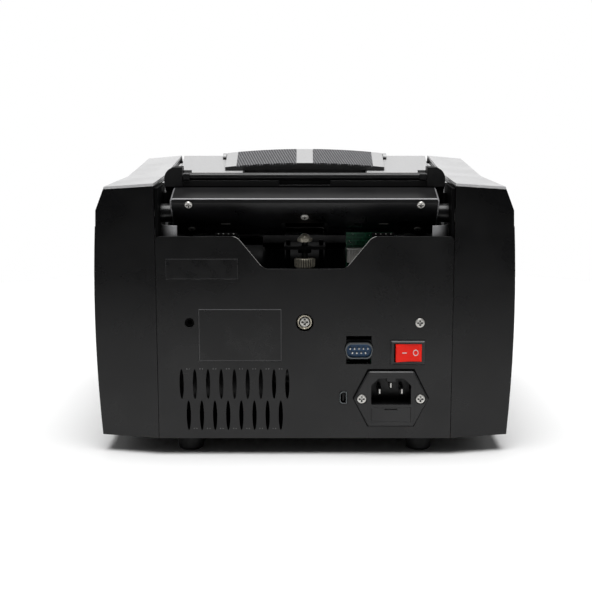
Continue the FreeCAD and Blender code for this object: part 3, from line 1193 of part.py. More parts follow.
# ---- export -------------------------------------------------------------------------------------
def all_parts():
    cover, trim = side_cover_parts()
    parts = {
        "base_plate": base_plate(),
        "rubber_feet": Part.makeCompound([foot_at(x, y) for x, y in foot_places()]),
        "side_frame_left": mirrored(side_frame()),
        "side_frame_right": side_frame(),
        "tie_rods": tie_rods(),
        "rear_crossbar": rear_crossbar(),
        "rear_panel": rear_panel(),
        "rear_screws": rear_screws(),
        "blank_labels": label_plates(),
        "side_cover_left": mirrored(cover),
        "side_cover_right": cover,
        "top_trim_left": mirrored(trim),
        "top_trim_right": trim,
        "hopper_tray": hopper_tray(),
        "handle_grip": handle_grip(),
        "handle_cover": handle_cover(),
        "handle_inlays": handle_inlays(),
        "hatch_cover": hatch_cover(),
        "hatch_screws": hatch_screws(),
        "hopper_back": hopper_back(),
        "guide_rail": guide_rail(),
        "note_guide_left": mirrored(note_guide()),
        "note_guide_right": note_guide(),
        "control_panel": control_panel(),
        "display_window": display_window(),
        "display_module": display_module(),
        "pocket_back": pocket_back(),
        "pocket_floor": pocket_floor(),
        "shaft_bearings": bearings(),
        "drum_shaft": drum_shaft(),
        "drum_rings": drum_rings(),
        "pickup_shaft": pickup_shaft(),
        "pickup_tyres": pickup_tyres(),
        "transfer_roller_upper": transfer_roller(UPPER, TRACK_B, UPPER_PULLEY_R, 0),
        "transfer_roller_lower": transfer_roller(LOWER, TRACK_A, LOWER_PULLEY_R,
                                                 180 / TRANSFER_TEETH),
        "stacker_shaft": stacker_shaft(),
        "stacker_wheels": stacker_wheels(),
        "drive_motor": drive_motor(),
        "motor_rotor": motor_rotor(),
        "drive_belts": belts(),
        "path_guide": path_guide(),
        "main_board": main_board(),
        "power_supply": power_supply(),
        "sensor_board": sensor_board(),
        "sensor_plug": sensor_plug(),
        "gap_knob": fuse([gap_knob(), acorn_nut()]),
        "retard_arm": retard_arm(),
        "retard_pad": retard_pad(),
        "serial_port": serial_port(),
        "serial_insert": serial_insert(),
        "usb_port": usb_port(),
        "inlet_housing": inlet_housing(),
        "inlet_pins": inlet_pins(),
        "fuse_drawer": fuse_drawer(),
        "switch_bezel": switch_bezel(),
        "power_rocker": power_rocker(),
    }
    for name, (x, y) in zip(BUTTON_NAMES, button_places()):
        parts[name] = button_at(x, y)
    return parts


def main():
    os.makedirs("parts", exist_ok=True)
    for name, shape in all_parts().items():
        shape.exportStep(f"parts/{name}.step")


main()
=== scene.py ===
"""Looks of the desktop banknote counter, laid out as an add-on and run as a script.

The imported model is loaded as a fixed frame. Each operator below gives a group of its nodes their
finish, or models one small piece that the frame leaves to it, and the last one sets the stage.
"""
import json
import math

import bpy
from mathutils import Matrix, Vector


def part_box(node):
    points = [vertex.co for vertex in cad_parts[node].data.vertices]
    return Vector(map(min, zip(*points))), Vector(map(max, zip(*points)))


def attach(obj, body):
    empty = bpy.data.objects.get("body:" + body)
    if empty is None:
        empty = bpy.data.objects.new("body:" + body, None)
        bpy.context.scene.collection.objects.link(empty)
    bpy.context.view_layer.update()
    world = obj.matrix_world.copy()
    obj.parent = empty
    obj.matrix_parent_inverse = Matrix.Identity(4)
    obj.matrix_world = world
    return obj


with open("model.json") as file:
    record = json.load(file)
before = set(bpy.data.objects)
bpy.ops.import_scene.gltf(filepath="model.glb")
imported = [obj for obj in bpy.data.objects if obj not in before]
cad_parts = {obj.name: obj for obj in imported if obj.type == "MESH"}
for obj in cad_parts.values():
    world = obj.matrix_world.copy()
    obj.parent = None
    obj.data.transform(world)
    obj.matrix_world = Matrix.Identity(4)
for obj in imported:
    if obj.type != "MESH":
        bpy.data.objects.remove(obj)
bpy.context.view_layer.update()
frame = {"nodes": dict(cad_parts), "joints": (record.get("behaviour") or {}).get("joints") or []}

bl_info = {
    "name": "Banknote counter looks",
    "version": (1, 0, 0),
    "blender": (4, 5, 0),
    "location": "3D View > Sidebar > Counter",
    "description": "Finishes, small pieces and stage of a desktop banknote counter",
    "category": "Object",
}

MM = 0.001
SIDES = (-1, 1)


# ---- reading places off the frame ------------------------------------------------------------------
def high(node):
    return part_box(node)[1]


def middle(node):
    lo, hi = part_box(node)
    return (lo + hi) / 2


def joint(name):
    return next(j for j in frame["joints"] if j["name"] == name)


def node_corners(node):
    return [v.co.copy() for v in frame["nodes"][node].data.vertices]


PRESS = Vector(joint("mode_press")["axis"]).normalized()   # into the control panel
SLOPE = math.atan2(PRESS.y, -PRESS.z)
PANEL_Y = high("rear_panel").y


def top_along(node, direction):
    """Farthest distance of a node's surface along a direction."""
    return max(corner.dot(direction) for corner in node_corners(node))


# ---- shaping helpers -------------------------------------------------------------------------------
def take(*objects):
    bpy.ops.object.select_all(action="DESELECT")
    for obj in objects:
        obj.select_set(True)
    bpy.context.view_layer.objects.active = objects[0]


def apply_place(obj):
    take(obj)
    bpy.ops.object.transform_apply(location=True, rotation=True, scale=True)


def apply_modifier(obj, kind, **settings):
    take(obj)
    modifier = obj.modifiers.new(kind.title(), kind)
    for key, value in settings.items():
        setattr(modifier, key, value)
    bpy.ops.object.modifier_apply(modifier=modifier.name)


def edit_faces(obj, wanted):
    """Opens obj in edit mode with only the faces selected whose centre and normal pass the test."""
    take(obj)
    bpy.ops.object.mode_set(mode="EDIT")
    bpy.ops.mesh.select_mode(type="FACE")
    bpy.ops.mesh.select_all(action="DESELECT")
    bpy.ops.object.mode_set(mode="OBJECT")
    for face in obj.data.polygons:
        face.select = bool(wanted(face.center, face.normal))
    bpy.ops.object.mode_set(mode="EDIT")


def edit_edges(obj, wanted):
    """Opens obj in edit mode with only the edges selected whose two ends pass the test."""
    take(obj)
    bpy.ops.object.mode_set(mode="EDIT")
    bpy.ops.mesh.select_mode(type="EDGE")
    bpy.ops.mesh.select_all(action="DESELECT")
    bpy.ops.object.mode_set(mode="OBJECT")
    points = obj.data.vertices
    for edge in obj.data.edges:
        edge.select = bool(wanted(points[edge.vertices[0]].co, points[edge.vertices[1]].co))
    bpy.ops.object.mode_set(mode="EDIT")


def leave_edit():
    bpy.ops.object.mode_set(mode="OBJECT")


def block(name, lo, hi, soften=0.0, rings=2):
    """Block between two corners, its edges rounded in edit mode."""
    lo, hi = Vector(lo), Vector(hi)
    bpy.ops.object.select_all(action="DESELECT")
    bpy.ops.mesh.primitive_cube_add(size=1, location=(lo + hi) / 2, scale=hi - lo)
    obj = bpy.context.object
    obj.name = obj.data.name = name
    apply_place(obj)
    if soften:
        edit_edges(obj, lambda a, b: True)
        bpy.ops.mesh.bevel(offset=soften, segments=rings, affect="EDGES")
        leave_edit()
    return obj


def rod(name, start, end, radius, sides=24, tip=0.0, rings=3):
    """Round rod from start to end, its far rim rounded by tip."""
    start, end = Vector(start), Vector(end)
    along = end - start
    bpy.ops.object.select_all(action="DESELECT")
    bpy.ops.mesh.primitive_cylinder_add(vertices=sides, radius=radius, depth=along.length)
    obj = bpy.context.object
    obj.name = obj.data.name = name
    if tip:
        top = along.length / 2 - 1e-6
        edit_edges(obj, lambda a, b: a.z > top and b.z > top)
        bpy.ops.mesh.bevel(offset=tip, segments=rings, affect="EDGES")
        leave_edit()
    obj.rotation_euler = along.to_track_quat("Z", "Y").to_euler()
    obj.location = (start + end) / 2
    apply_place(obj)
    return obj


def join(name, objects):
    take(*objects)
    if len(objects) > 1:
        bpy.ops.object.join()
    obj = bpy.context.object
    obj.name = obj.data.name = name
    return obj


def finish_piece(obj, body, material, smooth_deg=35):
    """Cleans a new piece's mesh, gives it its material and lets it ride its body."""
    take(obj)
    bpy.ops.object.mode_set(mode="EDIT")
    bpy.ops.mesh.select_all(action="SELECT")
    bpy.ops.mesh.remove_doubles(threshold=1e-6)
    bpy.ops.mesh.normals_make_consistent(inside=False)
    bpy.ops.object.mode_set(mode="OBJECT")
    bpy.ops.object.shade_smooth_by_angle(angle=math.radians(smooth_deg))
    obj.data.materials.clear()
    obj.data.materials.append(material)
    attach(obj, body)
    return obj


def onto_panel(obj, x, rise, off):
    """Turns a piece modelled flat at the origin onto the control panel: x across, rise up the
    slope from the panel's middle, off the distance of its base along the panel's normal."""
    up = Vector((0, math.cos(SLOPE), math.sin(SLOPE)))
    obj.rotation_euler = (SLOPE, 0, 0)
    obj.location = Vector((x, 0, 0)) + up * rise - PRESS * off
    apply_place(obj)
    return obj


# ---- finishes --------------------------------------------------------------------------------------
class Recipe:
    """Small builder for one material's nodes, all on Object coordinates in metres."""

    def __init__(self, name, colour, rough, metal=0.0, coat=0.0, coat_rough=0.08, specular=0.5,
                 rounding=0.35):
        self.material = bpy.data.materials.new(name)
        self.material.use_nodes = True
        self.tree = self.material.node_tree
        self.shader = self.tree.nodes["Principled BSDF"]
        self.colour = tuple(colour[:3])
        self.rough = rough
        self.put("Base Color", (*self.colour, 1))
        self.put("Roughness", rough)
        self.put("Metallic", metal)
        self.put("Coat Weight", coat)
        self.put("Coat Roughness", coat_rough)
        self.put("Specular IOR Level", specular)
        self.places = self.node("ShaderNodeTexCoord").outputs["Object"]
        self.normal = None
        if rounding:
            edge = self.node("ShaderNodeBevel", samples=4)
            edge.inputs["Radius"].default_value = rounding * MM
            self.normal = edge.outputs["Normal"]
            self.link(self.normal, self.shader.inputs["Normal"])

    def put(self, socket, value):
        self.shader.inputs[socket].default_value = value

    def node(self, kind, **settings):
        node = self.tree.nodes.new(kind)
        for key, value in settings.items():
            setattr(node, key, value)
        return node

    def link(self, out, into):
        self.tree.links.new(out, into)

    def mapped(self, scale=(1, 1, 1), turn=(0, 0, 0), shift=(0, 0, 0)):
        mapping = self.node("ShaderNodeMapping")
        mapping.inputs["Scale"].default_value = scale
        mapping.inputs["Rotation"].default_value = turn
        mapping.inputs["Location"].default_value = shift
        self.link(self.places, mapping.inputs["Vector"])
        return mapping.outputs["Vector"]

    def noise(self, size_mm, detail=2.0, places=None):
        noise = self.node("ShaderNodeTexNoise")
        noise.inputs["Scale"].default_value = 1 / (size_mm * MM)
        noise.inputs["Detail"].default_value = detail
        self.link(places or self.places, noise.inputs["Vector"])
        return noise.outputs["Fac"]

    def cells(self, size_mm):
        cells = self.node("ShaderNodeTexVoronoi")
        cells.inputs["Scale"].default_value = 1 / (size_mm * MM)
        self.link(self.places, cells.inputs["Vector"])
        return cells.outputs["Distance"]

    def ramp(self, value, low_in, high_in, low_out, high_out, smooth=True):
        ramp = self.node("ShaderNodeMapRange", clamp=True)
        if smooth:
            ramp.interpolation_type = "SMOOTHSTEP"
        for socket, number in zip(("From Min", "From Max", "To Min", "To Max"),
                                  (low_in, high_in, low_out, high_out)):
            ramp.inputs[socket].default_value = number
        self.link(value, ramp.inputs["Value"])
        return ramp.outputs["Result"]

    def maths(self, kind, first, second=None):
        """Math node; second may be a number or a socket."""
        node = self.node("ShaderNodeMath", operation=kind)
        for index, value in enumerate((first, second)):
            if value is None:
                continue
            if isinstance(value, (int, float)):
                node.inputs[index].default_value = value
            else:
                self.link(value, node.inputs[index])
        return node.outputs[0]

    def above(self, value, limit, soft):
        """Mask that rises from 0 at the limit to 1 a little above it."""
        return self.ramp(value, limit, limit + soft, 0, 1)

    def below(self, value, limit, soft):
        """Mask that falls from 1 at the limit to 0 a little above it."""
        return self.ramp(value, limit, limit + soft, 1, 0)

    def all_of(self, *masks):
        shared = masks[0]
        for mask in masks[1:]:
            shared = self.maths("MULTIPLY", shared, mask)
        return shared

    def any_of(self, *masks):
        most = masks[0]
        for mask in masks[1:]:
            most = self.maths("MAXIMUM", most, mask)
        return most

    def size_of(self, value):
        return self.maths("ABSOLUTE", value)

    def axis(self, name, places=None):
        split = self.node("ShaderNodeSeparateXYZ")
        self.link(places or self.places, split.inputs[0])
        return split.outputs[name]

    def facing(self, name):
        """Component of the true surface normal in the piece's own frame, so that it rides along."""
        own = self.node("ShaderNodeVectorTransform", vector_type="NORMAL", convert_from="WORLD",
                        convert_to="OBJECT")
        self.link(self.node("ShaderNodeNewGeometry").outputs["True Normal"], own.inputs[0])
        split = self.node("ShaderNodeSeparateXYZ")
        self.link(own.outputs[0], split.inputs[0])
        return split.outputs[name]

    def blend_colour(self, factor, first, second):
        mix = self.node("ShaderNodeMix", data_type="RGBA")
        self.link(factor, mix.inputs["Factor"])
        for index, value in ((6, first), (7, second)):
            if hasattr(value, "links"):
                self.link(value, mix.inputs[index])
            else:
                mix.inputs[index].default_value = (*value[:3], 1)
        return mix.outputs[2]

    def tone(self, amount, size_mm, detail=3.0, places=None):
        """Slow change of the colour's depth over the surface."""
        depth = self.noise(size_mm, detail, places)
        dark = [c * (1 - amount) for c in self.colour]
        light = [min(1, c * (1 + amount)) for c in self.colour]
        colour = self.blend_colour(self.ramp(depth, 0.3, 0.7, 0, 1), dark, light)
        self.link(colour, self.shader.inputs["Base Color"])
        return colour

    def crevice_shade(self, colour, depth_mm, dark=0.12, open_at=0.85):
        """Darkens a colour socket in slots and corners where light doesn't reach, as painted shade."""
        shade = self.node("ShaderNodeAmbientOcclusion", samples=8)
        shade.inputs["Distance"].default_value = depth_mm * MM
        level = self.ramp(shade.outputs["AO"], open_at - 0.5, open_at, dark, 1.0)
        mix = self.node("ShaderNodeMix", data_type="RGBA", blend_type="MULTIPLY")
        mix.inputs["Factor"].default_value = 1.0
        self.link(colour, mix.inputs[6])
        self.link(level, mix.inputs[7])
        self.paint(mix.outputs[2])
        return mix.outputs[2]

    def paint(self, colour):
        self.link(colour, self.shader.inputs["Base Color"])

    def gloss(self, spread, size_mm, detail=3.0, places=None):
        """Uneven roughness, as handling and moulding leave it."""
        value = self.ramp(self.noise(size_mm, detail, places), 0.3, 0.7,
                          self.rough - spread, self.rough + spread)
        self.link(value, self.shader.inputs["Roughness"])
        return value

    def relief(self, height, depth_mm, strength=1.0):
        """Adds a bump of a height socket on top of what the normal already holds."""
        bump = self.node("ShaderNodeBump")
        bump.inputs["Strength"].default_value = strength
        bump.inputs["Distance"].default_value = depth_mm * MM
        self.link(height, bump.inputs["Height"])
        if self.normal:
            self.link(self.normal, bump.inputs["Normal"])
        self.normal = bump.outputs["Normal"]
        self.link(self.normal, self.shader.inputs["Normal"])
        return self


def moulded(name, colour, rough, grain_mm=0.45, depth_mm=0.02, coat=0.0, rounding=0.35, tone=0.12):
    """Moulded plastic with a fine spark-eroded grain."""
    r = Recipe(name, colour, rough, coat=coat, rounding=rounding)
    r.tone(tone, 38)
    r.gloss(0.05, 24)
    r.relief(r.noise(grain_mm, 4), depth_mm, 0.6)
    return r


def turned_metal(name, colour, rough, along=(1, 1, 1), line_mm=0.35, metal=1.0, rounding=0.2):
    """Metal with fine tool marks; along squeezes the marks across one axis."""
    r = Recipe(name, colour, rough, metal=metal, rounding=rounding)
    lines = r.mapped(scale=along)
    r.tone(0.10, 6, 2, lines)
    r.gloss(0.08, line_mm * 3, 3, lines)
    r.relief(r.noise(line_mm, 2, lines), 0.012, 0.5)
    return r


def settings():
    return bpy.context.scene.counter_finish


def cover_black():
    r = Recipe("cover_black", settings().cover_colour, settings().cover_rough, specular=0.36,
               rounding=0.6)
    r.tone(0.15, 60)
    r.gloss(0.05, 35)
    fine = r.noise(settings().grain, 5)
    soft = r.noise(14, 2)
    r.relief(fine, 0.025, 0.5)
    r.relief(soft, 0.05, 0.25)
    return r.material


CUT_HALF = 43.5 * MM      # half width of the rear cut-out with its rounded corners
CUT_LOW = 120.0 * MM      # just above the cut-out's level lower edge


def panel_black():
    """Powder coat with orange peel; the slanted edges of the rear cut-out show bare metal."""
    r = Recipe("panel_black", settings().panel_colour, settings().panel_rough, specular=0.40,
               rounding=0.25)
    coat = r.tone(0.14, 45)
    bare = r.all_of(r.below(r.size_of(r.facing("Y")), 0.2, 0.3),
                    r.below(r.size_of(r.axis("X")), CUT_HALF, 1 * MM),
                    r.above(r.axis("Z"), CUT_LOW, 2.2 * MM))
    r.paint(r.blend_colour(bare, coat, (0.62, 0.62, 0.60)))
    r.gloss(0.05, 30)
    r.relief(r.noise(0.55, 3), 0.03, 0.5)
    return r.material


def silver_paint(name="silver_paint", light_gain=1.0):
    """Silver paint with fine flakes; a gain above 1 paints it lighter as painted light; undersides and the
    tray's rear end are painted near-black as shade.
    """
    r = Recipe(name, settings().silver_colour, settings().silver_rough, metal=0.08, rounding=0.5)
    flakes = r.noise(0.18, 2)
    depth = r.ramp(flakes, 0.35, 0.65, 0, 1)
    # a gain above 1 paints a lighter copy of the silver, standing in for light
    base = [c * light_gain for c in settings().silver_colour]
    paint = r.blend_colour(depth, [c * 0.93 for c in base], [min(1, c * 1.05) for c in base])
    # painted shade: undersides, and the tray's rear end below the hatch, are painted near-black
    under = r.below(r.facing("Z"), -0.15, 0.1)
    end = r.all_of(r.above(r.axis("Y"), high("hopper_tray").y - 4 * MM, 1 * MM),
                   r.below(r.axis("Z"), 149 * MM, 1 * MM))
    r.paint(r.blend_colour(r.any_of(under, end), paint, (0.003, 0.003, 0.0033)))
    r.gloss(0.05, 20)
    r.relief(r.noise(0.5, 3), 0.015, 0.4)
    return r.material


HATCH_RIM_IN, HATCH_RIM_OUT = 81.5 * MM, 83.1 * MM   # painted highlight on the rounded rim at each end of the hatch's face
HATCH_CREST = 158.5 * MM                              # height from which the painted highlight along the top edge starts
NOTCH_HALF, NOTCH_TOP = 14.6 * MM, 152.5 * MM         # painted shade round the hatch's lower notch


def hatch_gloss():
    """Satin black with a fine painted highlight along the rear face's top and both its ends; the flat
    top is a little duller and painted lighter as painted light, and the hollow inside and the notch
    are painted dark as shade."""
    r = Recipe("hatch_gloss", settings().hatch_colour, 0.30, specular=0.42, rounding=0.25)
    sideways = r.size_of(r.facing("X"))
    spread = r.size_of(r.axis("X"))
    # painted highlight on the rounded rims at both ends and along the top edge, where they catch the light
    rim = r.all_of(r.above(spread, HATCH_RIM_IN, 0.3 * MM), r.below(spread, HATCH_RIM_OUT, 0.1 * MM),
                   r.above(sideways, 0.15, 0.15), r.below(sideways, 0.93, 0.055))
    crest_highlight = r.all_of(r.above(r.facing("Z"), 0.15, 0.15), r.below(r.facing("Z"), 0.80, 0.1),
                     r.above(r.axis("Z"), HATCH_CREST, 0.5 * MM), r.above(r.facing("Y"), 0.3, 0.1))
    # painted light: the flat top is painted lighter than the rest of the black
    flat = r.above(r.facing("Z"), 0.93, 0.03)
    body = r.blend_colour(flat, r.tone(0.2, 30), (0.008, 0.008, 0.0085))
    # painted shade in the notch and on the hollow inside
    notch = r.all_of(r.below(spread, NOTCH_HALF, 0.2 * MM), r.below(r.axis("Z"), NOTCH_TOP, 0.5 * MM))
    hollow = r.any_of(notch, r.below(r.facing("Y"), -0.3, 0.2))
    body = r.blend_colour(hollow, body, (0.0012, 0.0012, 0.0013))
    r.paint(r.blend_colour(r.any_of(rim, crest_highlight), body, (0.30, 0.30, 0.31)))
    rough = r.ramp(r.noise(18, 3), 0.3, 0.7, 0.27, 0.33)
    dull = r.ramp(flat, 0, 1, 0, 0.04)
    r.link(r.maths("ADD", rough, dull), r.shader.inputs["Roughness"])
    r.relief(r.noise(0.6, 3), 0.006, 0.3)
    return r.material


def handle_silver():
    """Silver skin of the handle, painted near-black where it faces rearwards."""
    r = Recipe("handle_silver", settings().silver_colour, settings().silver_rough, metal=0.08,
               rounding=0.2)
    side = r.above(r.facing("Y"), 0.55, 0.15)
    r.paint(r.blend_colour(side, r.tone(0.04, 0.8), (0.004, 0.004, 0.0045)))
    r.gloss(0.05, 20)
    return r.material


TRAY_FALL = math.radians(17.6)       # slope of the tray, on which the handle lies
DOT_ROWS_TURN = math.radians(32)


def dotted_inlay():
    """Grey rubbery inlay with rows of small raised dots, set on the diagonal."""
    r = Recipe("dotted_inlay", settings().inlay_colour, 0.55, rounding=0.15)
    pitch = settings().dot_pitch * MM
    level = r.mapped(turn=(TRAY_FALL, 0, 0))
    turn = r.node("ShaderNodeMapping")
    turn.inputs["Rotation"].default_value = (0, 0, DOT_ROWS_TURN)
    r.link(level, turn.inputs["Vector"])
    split = r.node("ShaderNodeSeparateXYZ")
    r.link(turn.outputs["Vector"], split.inputs[0])
    waves = [r.maths("SINE", r.maths("MULTIPLY", split.outputs[i], 2 * math.pi / pitch)) for i in (0, 1)]
    dots = r.ramp(r.maths("MULTIPLY", waves[0], waves[1]), 0.05, 0.55, 0, 1)
    base = settings().inlay_colour
    r.paint(r.blend_colour(dots, [c * 0.5 for c in base], [c * 4.2 for c in base]))
    r.gloss(0.05, 5)
    r.relief(dots, 0.25, 0.9)
    return r.material


def rubber():
    r = Recipe("rubber", (0.0035, 0.0035, 0.0038), 0.62, specular=0.25, rounding=0.4)
    r.tone(0.25, 6)
    r.gloss(0.08, 5)
    r.relief(r.noise(0.6, 4), 0.04, 0.6)
    return r.material


def ribbed_rubber(name="ribbed_rubber", colour=(0.012, 0.012, 0.013)):
    """Feed rubber with fine grooves across the running surface."""
    r = Recipe(name, colour, 0.6, specular=0.2, rounding=0.3)
    r.tone(0.3, 5)
    wave = r.node("ShaderNodeTexWave", wave_type="BANDS", bands_direction="X")
    wave.inputs["Scale"].default_value = 260
    wave.inputs["Distortion"].default_value = 0.0
    r.link(r.places, wave.inputs["Vector"])
    r.gloss(0.06, 4)
    r.relief(wave.outputs["Fac"], 0.3, 0.7)
    r.relief(r.noise(0.5, 3), 0.03, 0.5)
    return r.material


def nickel():
    """Plated screws and rims, painted dark in their slots as shade."""
    r = Recipe("nickel", settings().nickel_colour, 0.34, metal=0.75, rounding=0.12)
    r.crevice_shade(r.tone(0.06, 3.0), 1.2, 0.06, 0.98)
    r.gloss(0.04, 2.5)
    r.relief(r.noise(0.8, 2), 0.004, 0.3)
    return r.material


SPINDLE = 2.1 * MM         # radius out to which the knob's bare spindle is painted near-black
CROWN = 5.2 * MM           # height of the dome nut
GROOVES, GROOVED_FROM = 26, 5.7 * MM


def brassy_nickel():
    """Warm plating of the knob and its nut, the knob's grooves painted dark as shade; the bare spindle is
    painted near-black.
    """
    r = Recipe("brassy_nickel", settings().knob_colour, 0.30, metal=0.45, rounding=0.12)
    x, y = r.axis("X"), r.maths("SUBTRACT", r.axis("Y"), middle("gap_knob").y)
    radius = r.maths("SQRT", r.maths("ADD", r.maths("MULTIPLY", x, x), r.maths("MULTIPLY", y, y)))
    plated = r.any_of(r.above(radius, SPINDLE, 0.3 * MM),
                      r.above(r.axis("Z"), high("gap_knob").z - CROWN, 0.4 * MM))
    warm = r.tone(0.08, 3.0)
    turn = r.maths("MULTIPLY", r.maths("ARCTAN2", y, x), GROOVES)
    # painted shade in the knob's grooves
    grooves = r.all_of(r.above(r.maths("COSINE", turn), 0.1, 0.4),
                       r.above(radius, GROOVED_FROM, 0.2 * MM),
                       r.below(r.size_of(r.facing("Z")), 0.6, 0.2))
    warm = r.blend_colour(grooves, warm, [c * 0.12 for c in r.colour])
    r.paint(r.blend_colour(plated, (0.004, 0.004, 0.004), warm))
    r.gloss(0.04, 2.5)
    return r.material


def port_shell():
    """Plated rims of the ports; their flanges behind the panel are painted dark as shade."""
    r = Recipe("port_shell", (0.12, 0.13, 0.135), 0.34, metal=0.6, rounding=0.1)
    # painted shade: all but the parts standing out of the panel are painted near-black
    out = r.above(r.axis("Y"), PANEL_Y - 0.4 * MM, 0.2 * MM)
    r.paint(r.blend_colour(out, (0.004, 0.004, 0.0045), r.tone(0.06, 3.0)))
    r.gloss(0.04, 2.5)
    return r.material


INLET_FRAME = 14.4 * MM     # half width of the inner frame moulded into the mains inlet


def inlet_black():
    """Moulded black of the mains inlet, with the dark seam of its inner frame."""
    r = Recipe("inlet_black", (0.0055, 0.0055, 0.0060), 0.40, rounding=0.35)
    body = r.tone(0.12, 38)
    centre = middle("inlet_housing")
    reach = r.any_of(r.size_of(r.maths("SUBTRACT", r.axis("X"), centre.x)),
                     r.size_of(r.maths("SUBTRACT", r.axis("Z"), centre.z)))
    seam = r.all_of(r.above(reach, INLET_FRAME, 0.1 * MM), r.below(reach, INLET_FRAME + 0.5 * MM, 0.1 * MM),
                    r.above(r.facing("Y"), 0.9, 0.05))
    r.paint(r.blend_colour(seam, body, (0.0010, 0.0010, 0.0011)))
    r.gloss(0.05, 24)
    r.relief(r.noise(0.45, 4), 0.02, 0.6)
    return r.material


def plug_pins():
    """Plated flat pins whose chamfered tips catch the light; their sides, deep in the inlet, are painted
    dark as shade.
    """
    r = Recipe("plug_pins", (0.62, 0.61, 0.58), 0.3, metal=0.4, rounding=0.1)
    # painted shade on the pins' sides, only the front-facing tips left plated
    tip = r.above(r.facing("Y"), 0.8, 0.1)
    r.paint(r.blend_colour(tip, (0.03, 0.03, 0.03), r.tone(0.05, 2.0)))
    r.gloss(0.04, 2.0)
    return r.material


def bright_sheet():
    """Smooth bright steel of the corner shields, painted darker towards the side frames as shade."""
    r = Recipe("bright_sheet", (0.42, 0.42, 0.43), 0.32, metal=0.4, rounding=0.2)
    # painted shade: darker towards the side frames
    shade_fade = r.above(r.size_of(r.axis("X")), 80 * MM, 10.5 * MM)
    r.paint(r.blend_colour(shade_fade, r.tone(0.04, 8), (0.02, 0.02, 0.02)))
    r.gloss(0.04, 8)
    return r.material


def shade_black(name="shade_black"):
    """Dull near-black with faint sheen on what lies deep in the machine, painted as shade."""
    r = Recipe(name, (0.0016, 0.0016, 0.0018), 0.6, specular=0.06, rounding=0.2)
    r.tone(0.25, 12)
    r.gloss(0.05, 9)
    r.relief(r.noise(0.5, 3), 0.02, 0.4)
    return r


FRAME_TOP = 167.2 * MM      # height at Y 0 of the line above which the frames are silver
FRAME_SILVER_END = 97.5 * MM


def frame_black():
    """Inner frames: dull black, their upper edges beside the tray painted silver like the tray."""
    r = shade_black("frame_black")
    over = r.maths("ADD", r.axis("Z"), r.maths("MULTIPLY", r.axis("Y"), math.tan(TRAY_FALL)))
    silver = r.all_of(r.above(over, FRAME_TOP, 0.4 * MM), r.below(r.axis("Y"), FRAME_SILVER_END, 0.5 * MM))
    bright = [c * 1.1 for c in settings().silver_colour]
    r.paint(r.blend_colour(silver, (0.0022, 0.0022, 0.0024), bright))
    return r.material


def black_steel():
    r = Recipe("black_steel", (0.0055, 0.0055, 0.0060), 0.36, rounding=0.3)
    r.tone(0.2, 20)
    r.gloss(0.06, 12)
    r.relief(r.noise(0.5, 3), 0.02, 0.5)
    return r.material


def board_green():
    """Solder resist over copper runs, with pale pads."""
    r = Recipe("board_green", settings().board_colour, 0.3, coat=0.3, rounding=0.15)
    brick = r.node("ShaderNodeTexBrick", offset=0.35)
    brick.inputs["Scale"].default_value = 1
    brick.inputs["Brick Width"].default_value = 0.0061
    brick.inputs["Row Height"].default_value = 0.0023
    brick.inputs["Mortar Size"].default_value = 0.0003
    turned = r.mapped(turn=(math.radians(90), 0, 0))
    r.link(turned, brick.inputs["Vector"])
    runs = brick.outputs["Fac"]
    base = settings().board_colour
    resist = r.blend_colour(runs, [c * 0.75 for c in base], [min(1, c * 1.5 + 0.01) for c in base])
    pads = r.ramp(r.cells(2.6), 0.10, 0.14, 1, 0)
    r.paint(r.blend_colour(pads, resist, (0.55, 0.58, 0.52)))
    r.gloss(0.06, 6)
    r.relief(runs, 0.04, 0.6)
    return r.material


def plain_plastic(name, colour, rough, **more):
    return moulded(name, colour, rough, **more).material


# middle across and up, width, height and how strongly the rim shows, of both blank labels
LABELS = ((40.2 * MM, 77.6 * MM, 52.0 * MM, 33.4 * MM, 1.0),
          (63.5 * MM, 119.4 * MM, 45.2 * MM, 13.0 * MM, 0.35))


def label_film():
    """Blank film; its rim catches the light, most along the top."""
    r = Recipe("label_film", (0.0021, 0.0021, 0.0024), 0.30, specular=0.40, rounding=0)
    film = r.tone(0.12, 20)
    rims = []
    for x, z, wide, tall, share in LABELS:
        across = r.size_of(r.maths("SUBTRACT", r.axis("X"), x))
        up = r.maths("SUBTRACT", r.axis("Z"), z)
        side, end = wide / 2, tall / 2
        rim = r.any_of(r.ramp(across, side - 0.7 * MM, side - 0.5 * MM, 0, 0.6),
                       r.ramp(up, 0.5 * MM - end, 0.7 * MM - end, 0.5, 0),
                       r.ramp(up, end - 0.8 * MM, end - 0.6 * MM, 0, 1))
        on_label = r.all_of(r.below(across, side + 0.3 * MM, 0.1 * MM),
                            r.below(r.size_of(up), end + 0.3 * MM, 0.1 * MM))
        rims.append(r.maths("MULTIPLY", r.all_of(rim, on_label), share))
    r.paint(r.blend_colour(r.any_of(*rims), film, (0.15, 0.15, 0.155)))
    r.gloss(0.05, 9)
    r.relief(r.noise(0.7, 2), 0.006, 0.3)
    return r.material


def screen_glass():
    r = Recipe("screen_glass", (0.004, 0.006, 0.008), 0.08, coat=0.6, coat_rough=0.03, rounding=0.3)
    r.tone(0.2, 30)
    r.gloss(0.03, 26)
    return r.material


def rocker_red():
    r = Recipe("rocker_red", settings().rocker_colour, 0.40, coat=0.05, specular=0.2, rounding=0.3)
    r.tone(0.06, 9)
    r.gloss(0.04, 6)
    r.relief(r.noise(0.5, 2), 0.008, 0.3)
    return r.material


def glow(name, colour, strength):
    r = Recipe(name, colour, 0.4, rounding=0)
    r.put("Emission Color", (*colour[:3], 1))
    r.put("Emission Strength", strength)
    r.tone(0.08, 3)
    return r.material


FINISHES = {}


